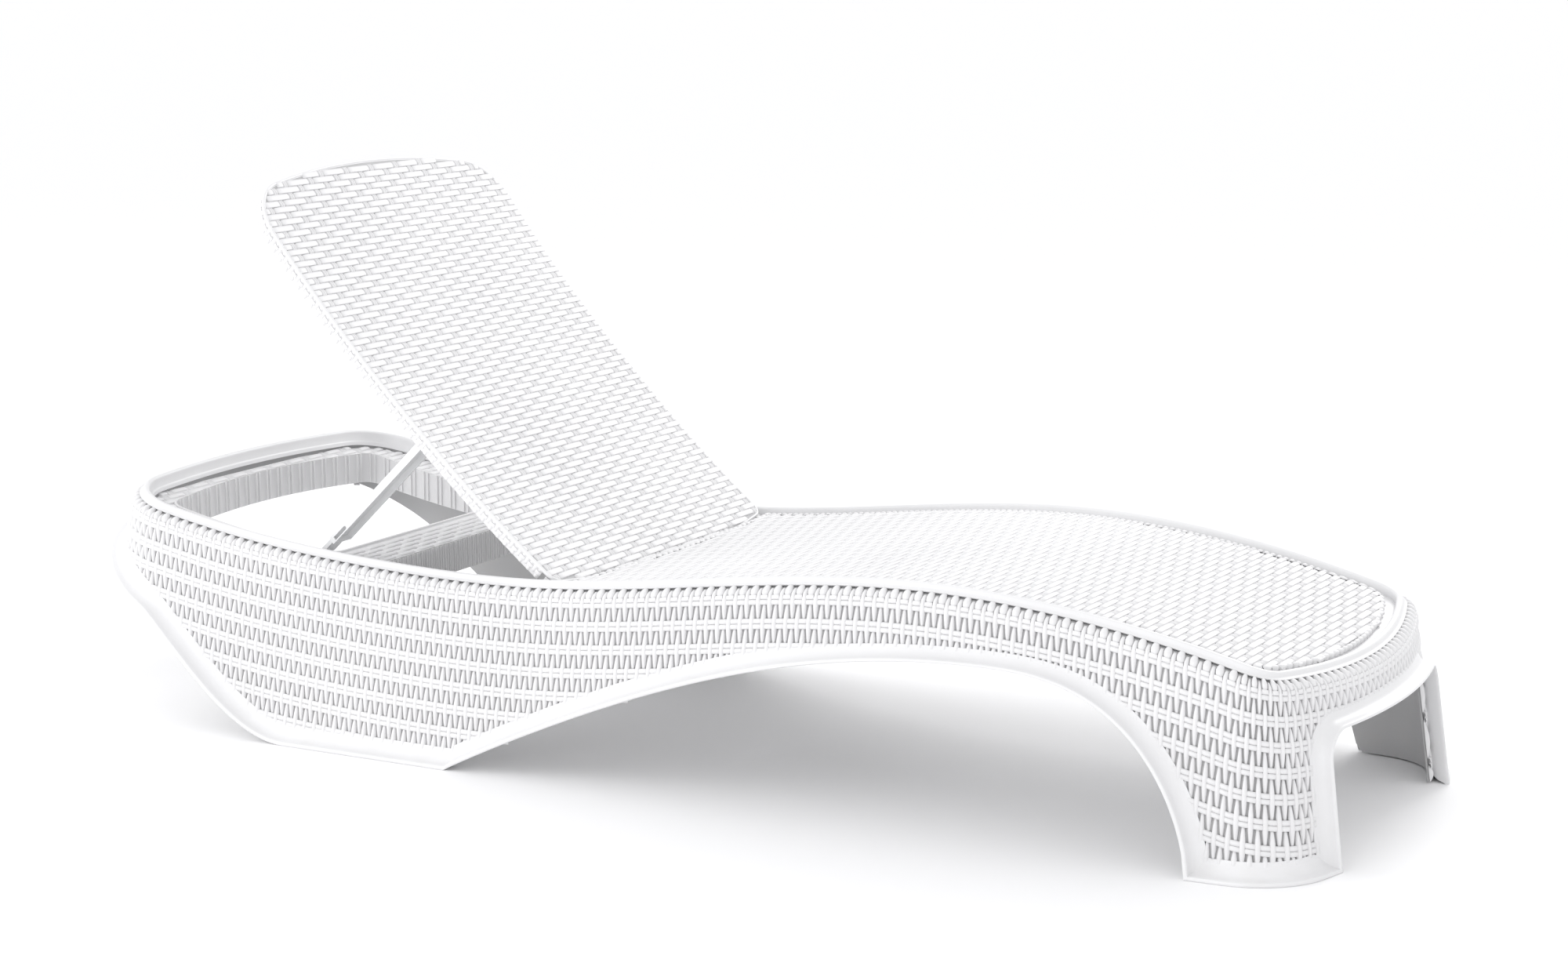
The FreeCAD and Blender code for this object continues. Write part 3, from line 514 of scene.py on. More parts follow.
@dataclass(frozen=True)
class StrandShape:
    """Shape of one visible stretch of a strand, before it is laid on a surface.

    Attributes:
        along: Places from -1 to 1 along it.
        width_at: Half width at those places, as a share of the full half width.
        height_at: Height at those places, in millimetres.
        across: Places from -1 to 1 across it.
        round_at: Share of the height left at those places.
        sink: Depth below the surface that the sides reach down to.
    """

    along: tuple[float, ...]
    width_at: tuple[float, ...]
    height_at: tuple[float, ...]
    across: tuple[float, ...] = (-1.0, -0.86, -0.5, 0.0, 0.5, 0.86, 1.0)
    round_at: tuple[float, ...] = (0.0, 0.62, 0.92, 1.0, 0.92, 0.62, 0.0)
    sink: float = 4.0

    def lay(
        self,
        surface: Surface,
        centre_u: Array,
        v_from: Array,
        v_to: Array,
        half_width: Array,
        lift: float = 0.0,
        crosswise: bool = False,
    ) -> Array:
        """Lays copies on a surface.

        Args:
            surface: Turns (u, v, height) into points.
            centre_u: u of each strand's middle line.
            v_from, v_to: Where each starts and ends.
            half_width: Half width of each.
            lift: Added to every height.
            crosswise: True when the strands run along u, so centre_u is a v and v_from, v_to are u.

        Returns:
            Points (strand, along, across, 3).
        """
        s = np.array(self.along)[None, :, None]
        t = np.array(self.across)[None, None, :]
        wide = np.array(self.width_at)[None, :, None]
        high = np.array(self.height_at)[None, :, None]
        bell = np.array(self.round_at)[None, None, :]
        a = np.asarray(v_from, float)[:, None, None]
        b = np.asarray(v_to, float)[:, None, None]
        c = np.asarray(centre_u, float)[:, None, None]
        w = np.broadcast_to(np.asarray(half_width, float), np.shape(centre_u))[:, None, None]
        v = (a + b) / 2.0 + (b - a) / 2.0 * s + 0.0 * t
        u = c + w * wide * t + 0.0 * s
        h = lift - self.sink + (high + self.sink) * bell
        v, u, h = np.broadcast_arrays(v, u, h)
        return surface(v, u, h) if crosswise else surface(u, v, h)


SPINDLE = StrandShape(
    along=(-1.0, -0.93, -0.75, -0.5, -0.2, 0.2, 0.5, 0.75, 0.93, 1.0),
    width_at=(0.42, 0.50, 0.62, 0.78, 0.96, 0.96, 0.78, 0.62, 0.50, 0.42),
    height_at=(-4.0, -2.5, -1.0, 0.5, 1.8, 1.8, 0.5, -1.0, -2.5, -4.0),
    across=(-1.0, -0.8, -0.35, 0.35, 0.8, 1.0),
    round_at=(0.0, 0.70, 0.97, 0.97, 0.70, 0.0),
)
TOOTH = StrandShape(
    along=(-1.0, -0.85, -0.4, 0.1, 0.6, 1.0),
    width_at=(0.50, 0.66, 0.84, 0.98, 0.90, 0.50),
    height_at=(-2.4, 0.0, 1.1, 1.5, 0.6, -2.8),
    across=(-1.0, -0.8, -0.35, 0.35, 0.8, 1.0),
    round_at=(0.0, 0.70, 0.97, 0.97, 0.70, 0.0),
)
BAND_STRIP = StrandShape(
    along=(-1.0, -0.72, 0.0, 0.72, 1.0),
    width_at=(0.9, 1.0, 1.0, 1.0, 0.9),
    height_at=(0.0, 0.9, 1.1, 0.9, 0.0),
    across=(-1.0, -0.86, 0.0, 0.86, 1.0),
    round_at=(0.35, 0.90, 1.0, 0.90, 0.35),
    sink=3.6,
)
FLOAT = StrandShape(
    along=(-1.0, -0.97, -0.9, -0.6, 0.0, 0.6, 0.9, 0.97, 1.0),
    width_at=(0.76, 0.90, 1.0, 1.0, 1.0, 1.0, 1.0, 0.90, 0.76),
    height_at=(-2.8, -0.9, 0.2, 0.7, 0.8, 0.7, 0.2, -0.9, -2.8),
    across=(-1.0, -0.88, -0.4, 0.4, 0.88, 1.0),
    round_at=(0.2, 0.80, 1.0, 0.98, 0.78, 0.0),
    sink=3.4,
)
KNOT = StrandShape(
    along=(-1.0, -0.7, 0.0, 0.7, 1.0),
    width_at=(0.8, 1.0, 1.0, 1.0, 0.8),
    height_at=(-2.6, -0.4, 0.5, -0.4, -2.6),
    across=(-1.0, -0.7, 0.0, 0.7, 1.0),
    round_at=(0.0, 0.75, 1.0, 0.75, 0.0),
    sink=2.8,
)


# ---- Shared shader effects ------------------------------------------------------------------


class GroupMaker:
    """Builds the shared node groups once each."""

    _made: dict[str, bpy.types.NodeTree] = {}

    @classmethod
    def get(cls, name: str) -> bpy.types.NodeTree:
        """Returns a shared group by name, building it the first time."""
        if name not in cls._made:
            makers = {"resin_tint": cls._tint, "moulded_grain": cls._grain, "outdoor_dust": cls._dust}
            cls._made[name] = makers[name]()
        return cls._made[name]

    @staticmethod
    def _new(
        name: str, inputs: Sequence[tuple[str, str, float]], outputs: Sequence[tuple[str, str]]
    ) -> tuple[bpy.types.NodeTree, bpy.types.Node, bpy.types.Node]:
        """Starts a group.

        Args:
            name: Its name.
            inputs: Name, socket type and value of each input.
            outputs: Name and socket type of each output.

        Returns:
            The group, its input node and its output node.
        """
        tree = bpy.data.node_groups.new(name, "ShaderNodeTree")
        for label, kind, value in inputs:
            sock = tree.interface.new_socket(name=label, in_out="INPUT", socket_type=kind)
            sock.default_value = value
        for label, kind in outputs:
            tree.interface.new_socket(name=label, in_out="OUTPUT", socket_type=kind)
        return tree, tree.nodes.new("NodeGroupInput"), tree.nodes.new("NodeGroupOutput")

    @classmethod
    def _tint(cls) -> bpy.types.NodeTree:
        """Slow drift of the resin's colour over the moulding: one mask from 0 to 1."""
        tree, gi, go = cls._new(
            "resin_tint", [("Scale", "NodeSocketFloat", 3.0)], [("Mask", "NodeSocketFloat")]
        )
        coord = tree.nodes.new("ShaderNodeTexCoord")
        noise = tree.nodes.new("ShaderNodeTexNoise")
        noise.inputs["Detail"].default_value = 4.0
        noise.inputs["Roughness"].default_value = 0.55
        ramp = tree.nodes.new("ShaderNodeMapRange")
        ramp.inputs["From Min"].default_value = 0.3
        ramp.inputs["From Max"].default_value = 0.7
        tree.links.new(coord.outputs["Object"], noise.inputs["Vector"])
        tree.links.new(gi.outputs["Scale"], noise.inputs["Scale"])
        tree.links.new(noise.outputs["Fac"], ramp.inputs["Value"])
        tree.links.new(ramp.outputs["Result"], go.inputs["Mask"])
        return tree

    @classmethod
    def _grain(cls) -> bpy.types.NodeTree:
        """Fine moulded grain: a height and the normal it gives."""
        tree, gi, go = cls._new(
            "moulded_grain",
            [
                ("Scale", "NodeSocketFloat", 900.0),
                ("Strength", "NodeSocketFloat", 0.1),
                ("Distance", "NodeSocketFloat", 0.0003),
            ],
            [("Height", "NodeSocketFloat"), ("Normal", "NodeSocketVector")],
        )
        coord = tree.nodes.new("ShaderNodeTexCoord")
        noise = tree.nodes.new("ShaderNodeTexNoise")
        noise.inputs["Detail"].default_value = 3.0
        noise.inputs["Roughness"].default_value = 0.6
        bump = tree.nodes.new("ShaderNodeBump")
        tree.links.new(coord.outputs["Object"], noise.inputs["Vector"])
        tree.links.new(gi.outputs["Scale"], noise.inputs["Scale"])
        tree.links.new(noise.outputs["Fac"], bump.inputs["Height"])
        tree.links.new(gi.outputs["Strength"], bump.inputs["Strength"])
        tree.links.new(gi.outputs["Distance"], bump.inputs["Distance"])
        tree.links.new(noise.outputs["Fac"], go.inputs["Height"])
        tree.links.new(bump.outputs["Normal"], go.inputs["Normal"])
        return tree

    @classmethod
    def _dust(cls) -> bpy.types.NodeTree:
        """Light dust and scuffs that gather low on the body: a mask from 0 to 1."""
        tree, gi, go = cls._new(
            "outdoor_dust",
            [("Amount", "NodeSocketFloat", 0.3), ("Reach", "NodeSocketFloat", 0.25)],
            [("Mask", "NodeSocketFloat")],
        )
        coord = tree.nodes.new("ShaderNodeTexCoord")
        split = tree.nodes.new("ShaderNodeSeparateXYZ")
        low = tree.nodes.new("ShaderNodeMapRange")
        low.inputs["To Min"].default_value = 1.0
        low.inputs["To Max"].default_value = 0.15
        noise = tree.nodes.new("ShaderNodeTexNoise")
        noise.inputs["Scale"].default_value = 26.0
        noise.inputs["Detail"].default_value = 6.0
        sharpen = tree.nodes.new("ShaderNodeMapRange")
        sharpen.inputs["From Min"].default_value = 0.45
        sharpen.inputs["From Max"].default_value = 0.75
        mult = tree.nodes.new("ShaderNodeMath")
        mult.operation = "MULTIPLY"
        scale = tree.nodes.new("ShaderNodeMath")
        scale.operation = "MULTIPLY"
        tree.links.new(coord.outputs["Object"], split.inputs["Vector"])
        tree.links.new(split.outputs["Z"], low.inputs["Value"])
        tree.links.new(gi.outputs["Reach"], low.inputs["From Max"])
        tree.links.new(coord.outputs["Object"], noise.inputs["Vector"])
        tree.links.new(noise.outputs["Fac"], sharpen.inputs["Value"])
        tree.links.new(low.outputs["Result"], mult.inputs[0])
        tree.links.new(sharpen.outputs["Result"], mult.inputs[1])
        tree.links.new(mult.outputs["Value"], scale.inputs[0])
        tree.links.new(gi.outputs["Amount"], scale.inputs[1])
        tree.links.new(scale.outputs["Value"], go.inputs["Mask"])
        return tree


@dataclass(frozen=True)
class Finish:
    """A moulded resin finish. A darker copy paints shade in recesses, and a lighter copy paints highlight on
    the prop arms.

    Attributes:
        name: Material name.
        light, dark: The two ends of its colour drift.
        dust: Colour of the dust on it.
        roughness: Lowest and highest roughness.
        grain_scale: Fineness of the grain.
        grain_strength: Depth of the grain.
        dust_amount: How dusty it is, from 0 to 1.
    """

    name: str
    light: tuple[float, float, float]
    dark: tuple[float, float, float]
    dust: tuple[float, float, float] = (0.52, 0.50, 0.46)
    roughness: tuple[float, float] = (0.38, 0.52)
    grain_scale: float = 900.0
    grain_strength: float = 0.12
    dust_amount: float = 0.12

    def material(self) -> bpy.types.Material:
        """Builds the material, or returns it when it is already there."""
        found = bpy.data.materials.get(self.name)
        if found:
            return found
        mat = bpy.data.materials.new(self.name)
        mat.use_nodes = True
        tree = mat.node_tree
        tree.nodes.clear()
        out = tree.nodes.new("ShaderNodeOutputMaterial")
        shader = tree.nodes.new("ShaderNodeBsdfPrincipled")
        shader.inputs["IOR"].default_value = 1.49
        tint = tree.nodes.new("ShaderNodeGroup")
        tint.node_tree = GroupMaker.get("resin_tint")
        grain = tree.nodes.new("ShaderNodeGroup")
        grain.node_tree = GroupMaker.get("moulded_grain")
        grain.inputs["Scale"].default_value = self.grain_scale
        grain.inputs["Strength"].default_value = self.grain_strength
        dust = tree.nodes.new("ShaderNodeGroup")
        dust.node_tree = GroupMaker.get("outdoor_dust")
        dust.inputs["Amount"].default_value = self.dust_amount
        drift = tree.nodes.new("ShaderNodeMix")
        drift.data_type = "RGBA"
        drift.inputs["A"].default_value = (*self.light, 1.0)
        drift.inputs["B"].default_value = (*self.dark, 1.0)
        soil = tree.nodes.new("ShaderNodeMix")
        soil.data_type = "RGBA"
        soil.inputs["B"].default_value = (*self.dust, 1.0)
        rough = tree.nodes.new("ShaderNodeMapRange")
        rough.inputs["To Min"].default_value = self.roughness[0]
        rough.inputs["To Max"].default_value = self.roughness[1]
        link = tree.links.new
        link(tint.outputs["Mask"], drift.inputs["Factor"])
        link(drift.outputs["Result"], soil.inputs["A"])
        link(dust.outputs["Mask"], soil.inputs["Factor"])
        link(soil.outputs["Result"], shader.inputs["Base Color"])
        link(grain.outputs["Height"], rough.inputs["Value"])
        link(rough.outputs["Result"], shader.inputs["Roughness"])
        link(grain.outputs["Normal"], shader.inputs["Normal"])
        link(shader.outputs["BSDF"], out.inputs["Surface"])
        return mat


SMOOTH_WHITE = Finish("smooth white resin", (0.79, 0.79, 0.795), (0.75, 0.75, 0.757), roughness=(0.30, 0.42))
WOVEN_WHITE = Finish(
    "woven white resin", (0.80, 0.798, 0.803), (0.75, 0.748, 0.755), roughness=(0.42, 0.58), grain_strength=0.2
)
# Grey copy of the white resin: painted shade for the recessed skirt walls and for the backrest core seen
# between the strands; it also carries more dust.
RECESS_PAINTED_SHADE = Finish(
    "recess resin with painted shade", (0.50, 0.50, 0.505), (0.44, 0.44, 0.445), roughness=(0.55, 0.7), dust_amount=0.25
)
# Slightly lighter copy of the smooth white resin: painted highlight for the prop arms' brightly lit sides.
ARM_PAINTED_HIGHLIGHT = Finish("prop arm resin with painted highlight", (0.80, 0.805, 0.81), (0.75, 0.755, 0.76), roughness=(0.34, 0.46))


def dress(obj: bpy.types.Object, finish: Finish, body: Body | None = None) -> bpy.types.Object:
    """Gives an object its finish and body, and reports it.

    Args:
        obj: The object.
        finish: Its finish.
        body: The body it moves with; None for a CAD node, which already has one.

    Returns:
        The same object.
    """
    obj.data.materials.clear()
    obj.data.materials.append(finish.material())
    if body is not None:
        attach(obj, body.value)
    LOG.info("%-28s %7d faces  %s", obj.name, len(obj.data.polygons), finish.name)
    return obj


# ---- Woven skirts ---------------------------------------------------------------------------

GIRTH = RIM.girth()


def girth_surface(place: Array, v: Array, h: Array) -> Array:
    """Point over the skirt, measured half way down it.

    Args:
        place: Distance along the line half way down the skirt.
        v: Distance down the skirt.
        h: Height off its surface.

    Returns:
        Points in the frame, in metres.
    """
    around = 2.0 * GIRTH[-1]
    place = (np.asarray(place, float) + GIRTH[-1]) % around - GIRTH[-1]
    return skirt_surface(np.interp(place, GIRTH, RIM.runs), v, h)


@dataclass
class SkirtWeave:
    """Woven skirts: upright stakes over and under pairs of flat strips, in front of a recessed wall.

    Attributes:
        stakes: Stakes round the whole outline.
        first_row: Distance down the skirt to the first strip row.
        second_row: Distance to the second one; the others follow at the row pitch.
        row_pitch: Distance between rows.
        strip_half, strip_reach: Half width of a strip, and half the length of one visible stretch.
        stake_half: Half width of a stake at its widest.
        tooth_half, tooth_start: Half width of a shoulder tooth, and where it starts down the skirt.
        recess, back: Depths of the recessed wall's outer and inner faces.
    """

    stakes: int = 576
    first_row: float = 30.0
    second_row: float = 62.0
    row_pitch: float = 32.0
    strip_half: float = 3.5
    strip_reach: float = 5.6
    stake_half: float = 3.9
    tooth_half: float = 5.4
    tooth_start: float = 3.5
    recess: float = 4.6
    back: float = 7.4

    def rows(self) -> list[float]:
        """Distances down the skirt of all strip rows."""
        return [self.first_row] + [self.second_row + self.row_pitch * k for k in range(11)]

    def wall(self, parts: MeshParts, start: float, stop: float) -> None:
        """Adds the recessed wall behind the weave and its inside face.

        Args:
            parts: Where it goes.
            start, stop: Where it starts and ends along the rim.
        """
        runs = np.linspace(start, stop, max(6, int((stop - start) / 9.0)))
        for jump in (RUN_LEG_END, -RUN_LEG_END):
            if start < jump < stop:
                runs = np.sort(np.concatenate([runs, [jump - 0.02, jump + 0.02]]))
        share = np.concatenate([np.linspace(0.0, SHOULDER_ARC, 9), np.full(12, SHOULDER_ARC)])
        rest = np.concatenate([np.zeros(9), np.linspace(0.0, 1.0, 13)[1:]])
        end = skirt_end(runs)
        v = share[None, :] + (end[:, None] - SHOULDER_ARC) * rest[None, :]
        u = np.broadcast_to(runs[:, None], v.shape)
        outer = skirt_surface(u, v, np.full(v.shape, -self.recess))
        inner = skirt_surface(u, v, np.full(v.shape, -self.back))
        section = np.concatenate([outer, inner[:, ::-1]], 1)
        parts.grid(section, closed_v=True)

    def strands(self, parts: MeshParts, start: float, stop: float) -> None:
        """Adds stakes, shoulder teeth and strips.

        Args:
            parts: Where they go.
            start, stop: Where they start and end along the rim.
        """
        girth = 2.0 * GIRTH[-1]
        pitch = girth / self.stakes
        low, high = (float(np.interp(r, RIM.runs, GIRTH)) for r in (start, min(stop, RIM.length)))
        if stop > RIM.length:
            high = girth + float(np.interp(stop - 2.0 * RIM.length, RIM.runs, GIRTH))
        first = int(math.ceil(low / pitch - 0.5))
        number = np.arange(first, int(math.ceil(high / pitch - 0.5)))
        runs = (number + 0.5) * pitch
        wrapped = (runs + GIRTH[-1]) % girth - GIRTH[-1]
        end = skirt_end(np.interp(wrapped, GIRTH, RIM.runs))
        odd = (number % 2).astype(bool)
        rows = self.rows()
        teeth = runs[odd]
        if len(teeth):
            start_v, stop_v = np.full(teeth.shape, self.tooth_start), np.full(teeth.shape, self.first_row - 4.0)
            parts.grid(TOOTH.lay(girth_surface, teeth, start_v, stop_v, self.tooth_half))
        for k, row in enumerate(rows):
            over = (odd == bool(k % 2)) & (end > row - 12.0)
            upper = rows[k - 1] + 4.6 if k else 9.0
            lower = rows[k + 1] - 4.6 if k + 1 < len(rows) else row + 27.0
            if over.any():
                v0, v1 = np.full(over.sum(), upper), np.minimum(lower, end[over])
                parts.grid(SPINDLE.lay(girth_surface, runs[over], v0, v1, self.stake_half))
            under = (odd != bool(k % 2)) & (end > row + 1.0)
            if under.any():
                for shift in (-self.strip_half, self.strip_half):
                    parts.grid(
                        BAND_STRIP.lay(
                            girth_surface, np.full(under.sum(), row + shift), runs[under] - self.strip_reach,
                            runs[under] + self.strip_reach, self.strip_half, crosswise=True,
                        )
                    )

    def build(self) -> list[bpy.types.Object]:
        """Builds one object for each skirt node of the CAD."""
        spans = {
            "skirt_head": (-RUN_HEAD_END, RUN_HEAD_END),
            "skirt_side_right": (RUN_HEAD_END, RUN_ARCH_TOP),
            "skirt_side_left": (-RUN_ARCH_TOP, -RUN_HEAD_END),
            "leg_front_right": (RUN_ARCH_TOP, RUN_APRON),
            "leg_front_left": (-RUN_APRON, -RUN_ARCH_TOP),
            "skirt_foot": (RUN_APRON, 2.0 * RIM.length - RUN_APRON),
        }
        made = []
        for node, (start, stop) in spans.items():
            wall = MeshParts()
            self.wall(wall, start, stop)
            back = wall.build(node.replace("_", " ") + " wall", angle=60.0)
            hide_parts(node)
            # The recessed wall behind the weave gets the grey finish: painted shade.
            made.append(dress(back, RECESS_PAINTED_SHADE, Body.BASE))
            weave = MeshParts()
            self.strands(weave, start, stop)
            front = weave.build(node.replace("_", " ") + " weave", angle=75.0)
            made.append(dress(front, WOVEN_WHITE, Body.BASE))
        return made


# ---- Rim and kick lips ----------------------------------------------------------------------


@dataclass
class Rim:
    """Smooth rim lip and the smooth band inside it."""

    def ring(self, name: str, section: Sequence[tuple[float, float]], node: str) -> bpy.types.Object:
        """Sweeps a closed section round the rim.

        Args:
            name: Name of the piece.
            section: Points (outward, drop below the rim).
            node: The CAD node that it replaces.

        Returns:
            The dressed piece.
        """
        runs = np.linspace(-RIM.length, RIM.length, 640, endpoint=False)
        out = np.array([p[0] for p in section])[None, :]
        drop = np.array([p[1] for p in section])[None, :]
        level = RIM.level(runs)[:, None]
        u = np.broadcast_to(runs[:, None], (len(runs), len(section)))
        parts = MeshParts()
        parts.grid(RIM.place(u, out + 0.0 * u, level - drop), closed_u=True, closed_v=True)
        obj = parts.build(name, angle=50.0)
        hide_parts(node)
        return dress(obj, SMOOTH_WHITE, Body.BASE)

    def build(self) -> list[bpy.types.Object]:
        """Builds the lip and the band."""
        lip = [
            (-4.0, 11.0), (4.6, 10.6), (5.6, 9.2), (4.4, 8.1), (1.6, 7.4), (0.3, 5.8), (-0.3, 2.8), (-1.6, 0.9),
            (-3.6, 0.1), (-6.0, 0.1), (-8.2, 0.9), (-9.6, 2.4), (-10.0, 4.5), (-10.0, 8.0),
        ]
        band = [
            (-10.0, 4.6), (-10.3, 9.0), (-10.9, 16.4), (-11.6, 17.6), (-12.4, 18.0), (-12.9, 18.7),
            (-13.0, 24.2), (-6.5, 24.2), (-6.5, 8.0),
        ]
        return [
            self.ring("rim lip", lip, "rim_lip"),
            self.ring("rim inner band", band, "rim_inner_band"),
        ]


@dataclass
class KickLips:
    """Flared smooth lips along the body's lower edge."""

    def section(self, run: float, z: float, toward: tuple[float, float], width: float) -> Array:
        """One section of a lip, as points in space.

        Args:
            run, z: Place of the lower edge on the skirt.
            toward: Direction from the edge up into the skirt, in (run, height).
            width: Height of the lip's root over the edge.

        Returns:
            Points (n, 3) round the closed section.
        """
        profile = [
            (0.0, 1.0), (0.03, 0.80), (0.11, 0.58), (0.25, 0.41), (0.46, 0.30), (0.70, 0.245), (0.88, 0.24),
            (0.97, 0.22), (1.01, 0.16), (1.01, 0.04), (0.96, 0.0), (0.80, 0.0), (0.56, 0.09), (0.26, 0.20),
            (0.0, 0.38), (-0.20, 0.62), (-0.30, 0.95),
        ]
        points = []
        for flare, up in profile:
            r = run + toward[0] * up * width
            h = z + toward[1] * up * width
            level = float(RIM.level(np.array(run)))
            base = self.skirt_out(level, z) * (1.0 - up) + self.skirt_out(float(RIM.level(np.array(r))), h) * up
            points.append(RIM.place(np.array(r), np.array(base + flare * LIP_FLARE), np.array(h)))
        return np.array(points)

    @staticmethod
    def skirt_out(level: float, z: float) -> float:
        """How far the skirt stands out.

        Args:
            level: Height of the rim there.
            z: Height above the floor.

        Returns:
            The outward distance from the rim.
        """
        drop = level - LIP_HEIGHT - z
        if drop <= 0:
            return 0.0
        if drop < SHOULDER_DROP:
            rest = 1.0 - drop / SHOULDER_DROP
            return SHOULDER_OUT * math.sqrt(1.0 - rest * rest)
        return SHOULDER_OUT + WALL_SLOPE * (drop - SHOULDER_DROP)

    def sweep(
        self, name: str, node: str, path: Sequence[tuple[float, float]], widths: Sequence[float],
        ends: tuple[tuple[float, float] | None, tuple[float, float] | None],
    ) -> bpy.types.Object:
        """Builds one lip.

        Args:
            name: Name of the piece.
            node: The CAD node that it replaces.
            path: Places (run, height) of the lower edge.
            widths: The lip's height over the edge at each place.
            ends: Direction into the skirt at each end; None where it follows the path.

        Returns:
            The dressed piece.
        """
        keep = list(range(len(path)))
        for end, at in ((ends[0], 0), (ends[1], len(path) - 1)):
            if end and end[0]:
                keep = [i for i in keep if i == at or math.dist(path[i], path[at]) > 1.25 * LIP_BAND]
        path = [path[i] for i in keep]
        widths = [widths[i] for i in keep]
        sections = []
        for i, (run, z) in enumerate(path):
            if i == 0 and ends[0]:
                toward = ends[0]
            elif i == len(path) - 1 and ends[1]:
                toward = ends[1]
            else:
                a, b = path[max(i - 1, 0)], path[min(i + 1, len(path) - 1)]
                size = math.dist(a, b)
                toward = (-(b[1] - a[1]) / size, (b[0] - a[0]) / size)
            sections.append(self.section(run, z, toward, widths[i]))
        parts = MeshParts()
        parts.grid(np.array(sections), closed_v=True)
        obj = parts.build(name, angle=50.0)
        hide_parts(node)
        return dress(obj, SMOOTH_WHITE, Body.BASE)

    def build(self) -> list[bpy.types.Object]:
        """Builds the rear lip, the two arch lips, the two leg lips and the foot arch lip."""
        runs = np.linspace(-RUN_REAR_END, RUN_REAR_END, 240)
        path = [(float(r), float(edge_level(r))) for r in runs]
        even = [LIP_BAND] * len(path)
        made = [self.sweep("rear kick lip", "kick_lip_rear", path, even, (None, (0.0, 1.0)))]
        c = math.sqrt(0.5) * 1.3
        up, left_slant, right_slant = (0.0, 1.0), (-c, c), (c, c)
        rear = [RUN_REAR_END + (RUN_ARCH_TOP - RUN_REAR_END) * i / 60.0 for i in range(60)]
        front_span = RUN_LEG - RUN_ARCH_TOP
        front = [RUN_ARCH_TOP + front_span * math.sin(math.pi / 2.0 * i / 60.0) for i in range(61)]
        stations = rear + front
        widths = []
        for r in stations:
            u = min(1.0, abs(r - RUN_ARCH_TOP) / (RUN_LEG - RUN_ARCH_TOP))
            widths.append(ARCH_BAND + (LIP_BAND - ARCH_BAND) * u * u)
        right = [(r, float(edge_level(r))) for r in stations]
        left = [(-r, z) for r, z in right][::-1]
        sides = [
            ("right arch kick lip", "kick_lip_arch_right", right, widths, (up, right_slant)),
            ("left arch kick lip", "kick_lip_arch_left", left, widths[::-1], (left_slant, up)),
        ]
        leg = [(float(r), 0.0) for r in np.linspace(RUN_LEG, RUN_LEG_END, 60)]
        mirror = [(-r, z) for r, z in leg][::-1]
        even = [LIP_BAND] * len(leg)
        mitres = (right_slant, left_slant)
        sides += [
            ("right leg kick lip", "kick_lip_leg_right", leg, even, mitres),
            ("left leg kick lip", "kick_lip_leg_left", mirror, even, mitres),
        ]
        made += [self.sweep(*one) for one in sides]
        made.append(self.foot(c))
        return made

    def foot(self, c: float) -> bpy.types.Object:
        """Builds the lip of the foot arch.

        Args:
            c: Slant of the mitre at each end.

        Returns:
            The dressed piece.
        """
        straight = FOOT_ARCH_TOP - FOOT_ARCH_CORNER
        half = [(RUN_LEG_END, straight * i / 20.0) for i in range(20)]
        for i in range(15):
            turn = math.pi / 2.0 * i / 14.0
            across = RUN_LEG_END + FOOT_ARCH_CORNER * (1.0 - math.cos(turn))
            half.append((across, straight + FOOT_ARCH_CORNER * math.sin(turn)))
        start = RUN_LEG_END + FOOT_ARCH_CORNER
        half += [(start + (RIM.length - start) * i / 24.0, FOOT_ARCH_TOP) for i in range(1, 25)]
        path = half + [(2.0 * RIM.length - r, z) for r, z in half[:-1]][::-1]
        widths = [LIP_BAND + (ARCH_BAND + 1.0 - LIP_BAND) * min(1.0, z / FOOT_ARCH_TOP) ** 2 for _, z in path]
        return self.sweep("foot arch kick lip", "kick_lip_foot_arch", path, widths, ((-c, c), (c, c)))


# ---- Woven sheets ---------------------------------------------------------------------------


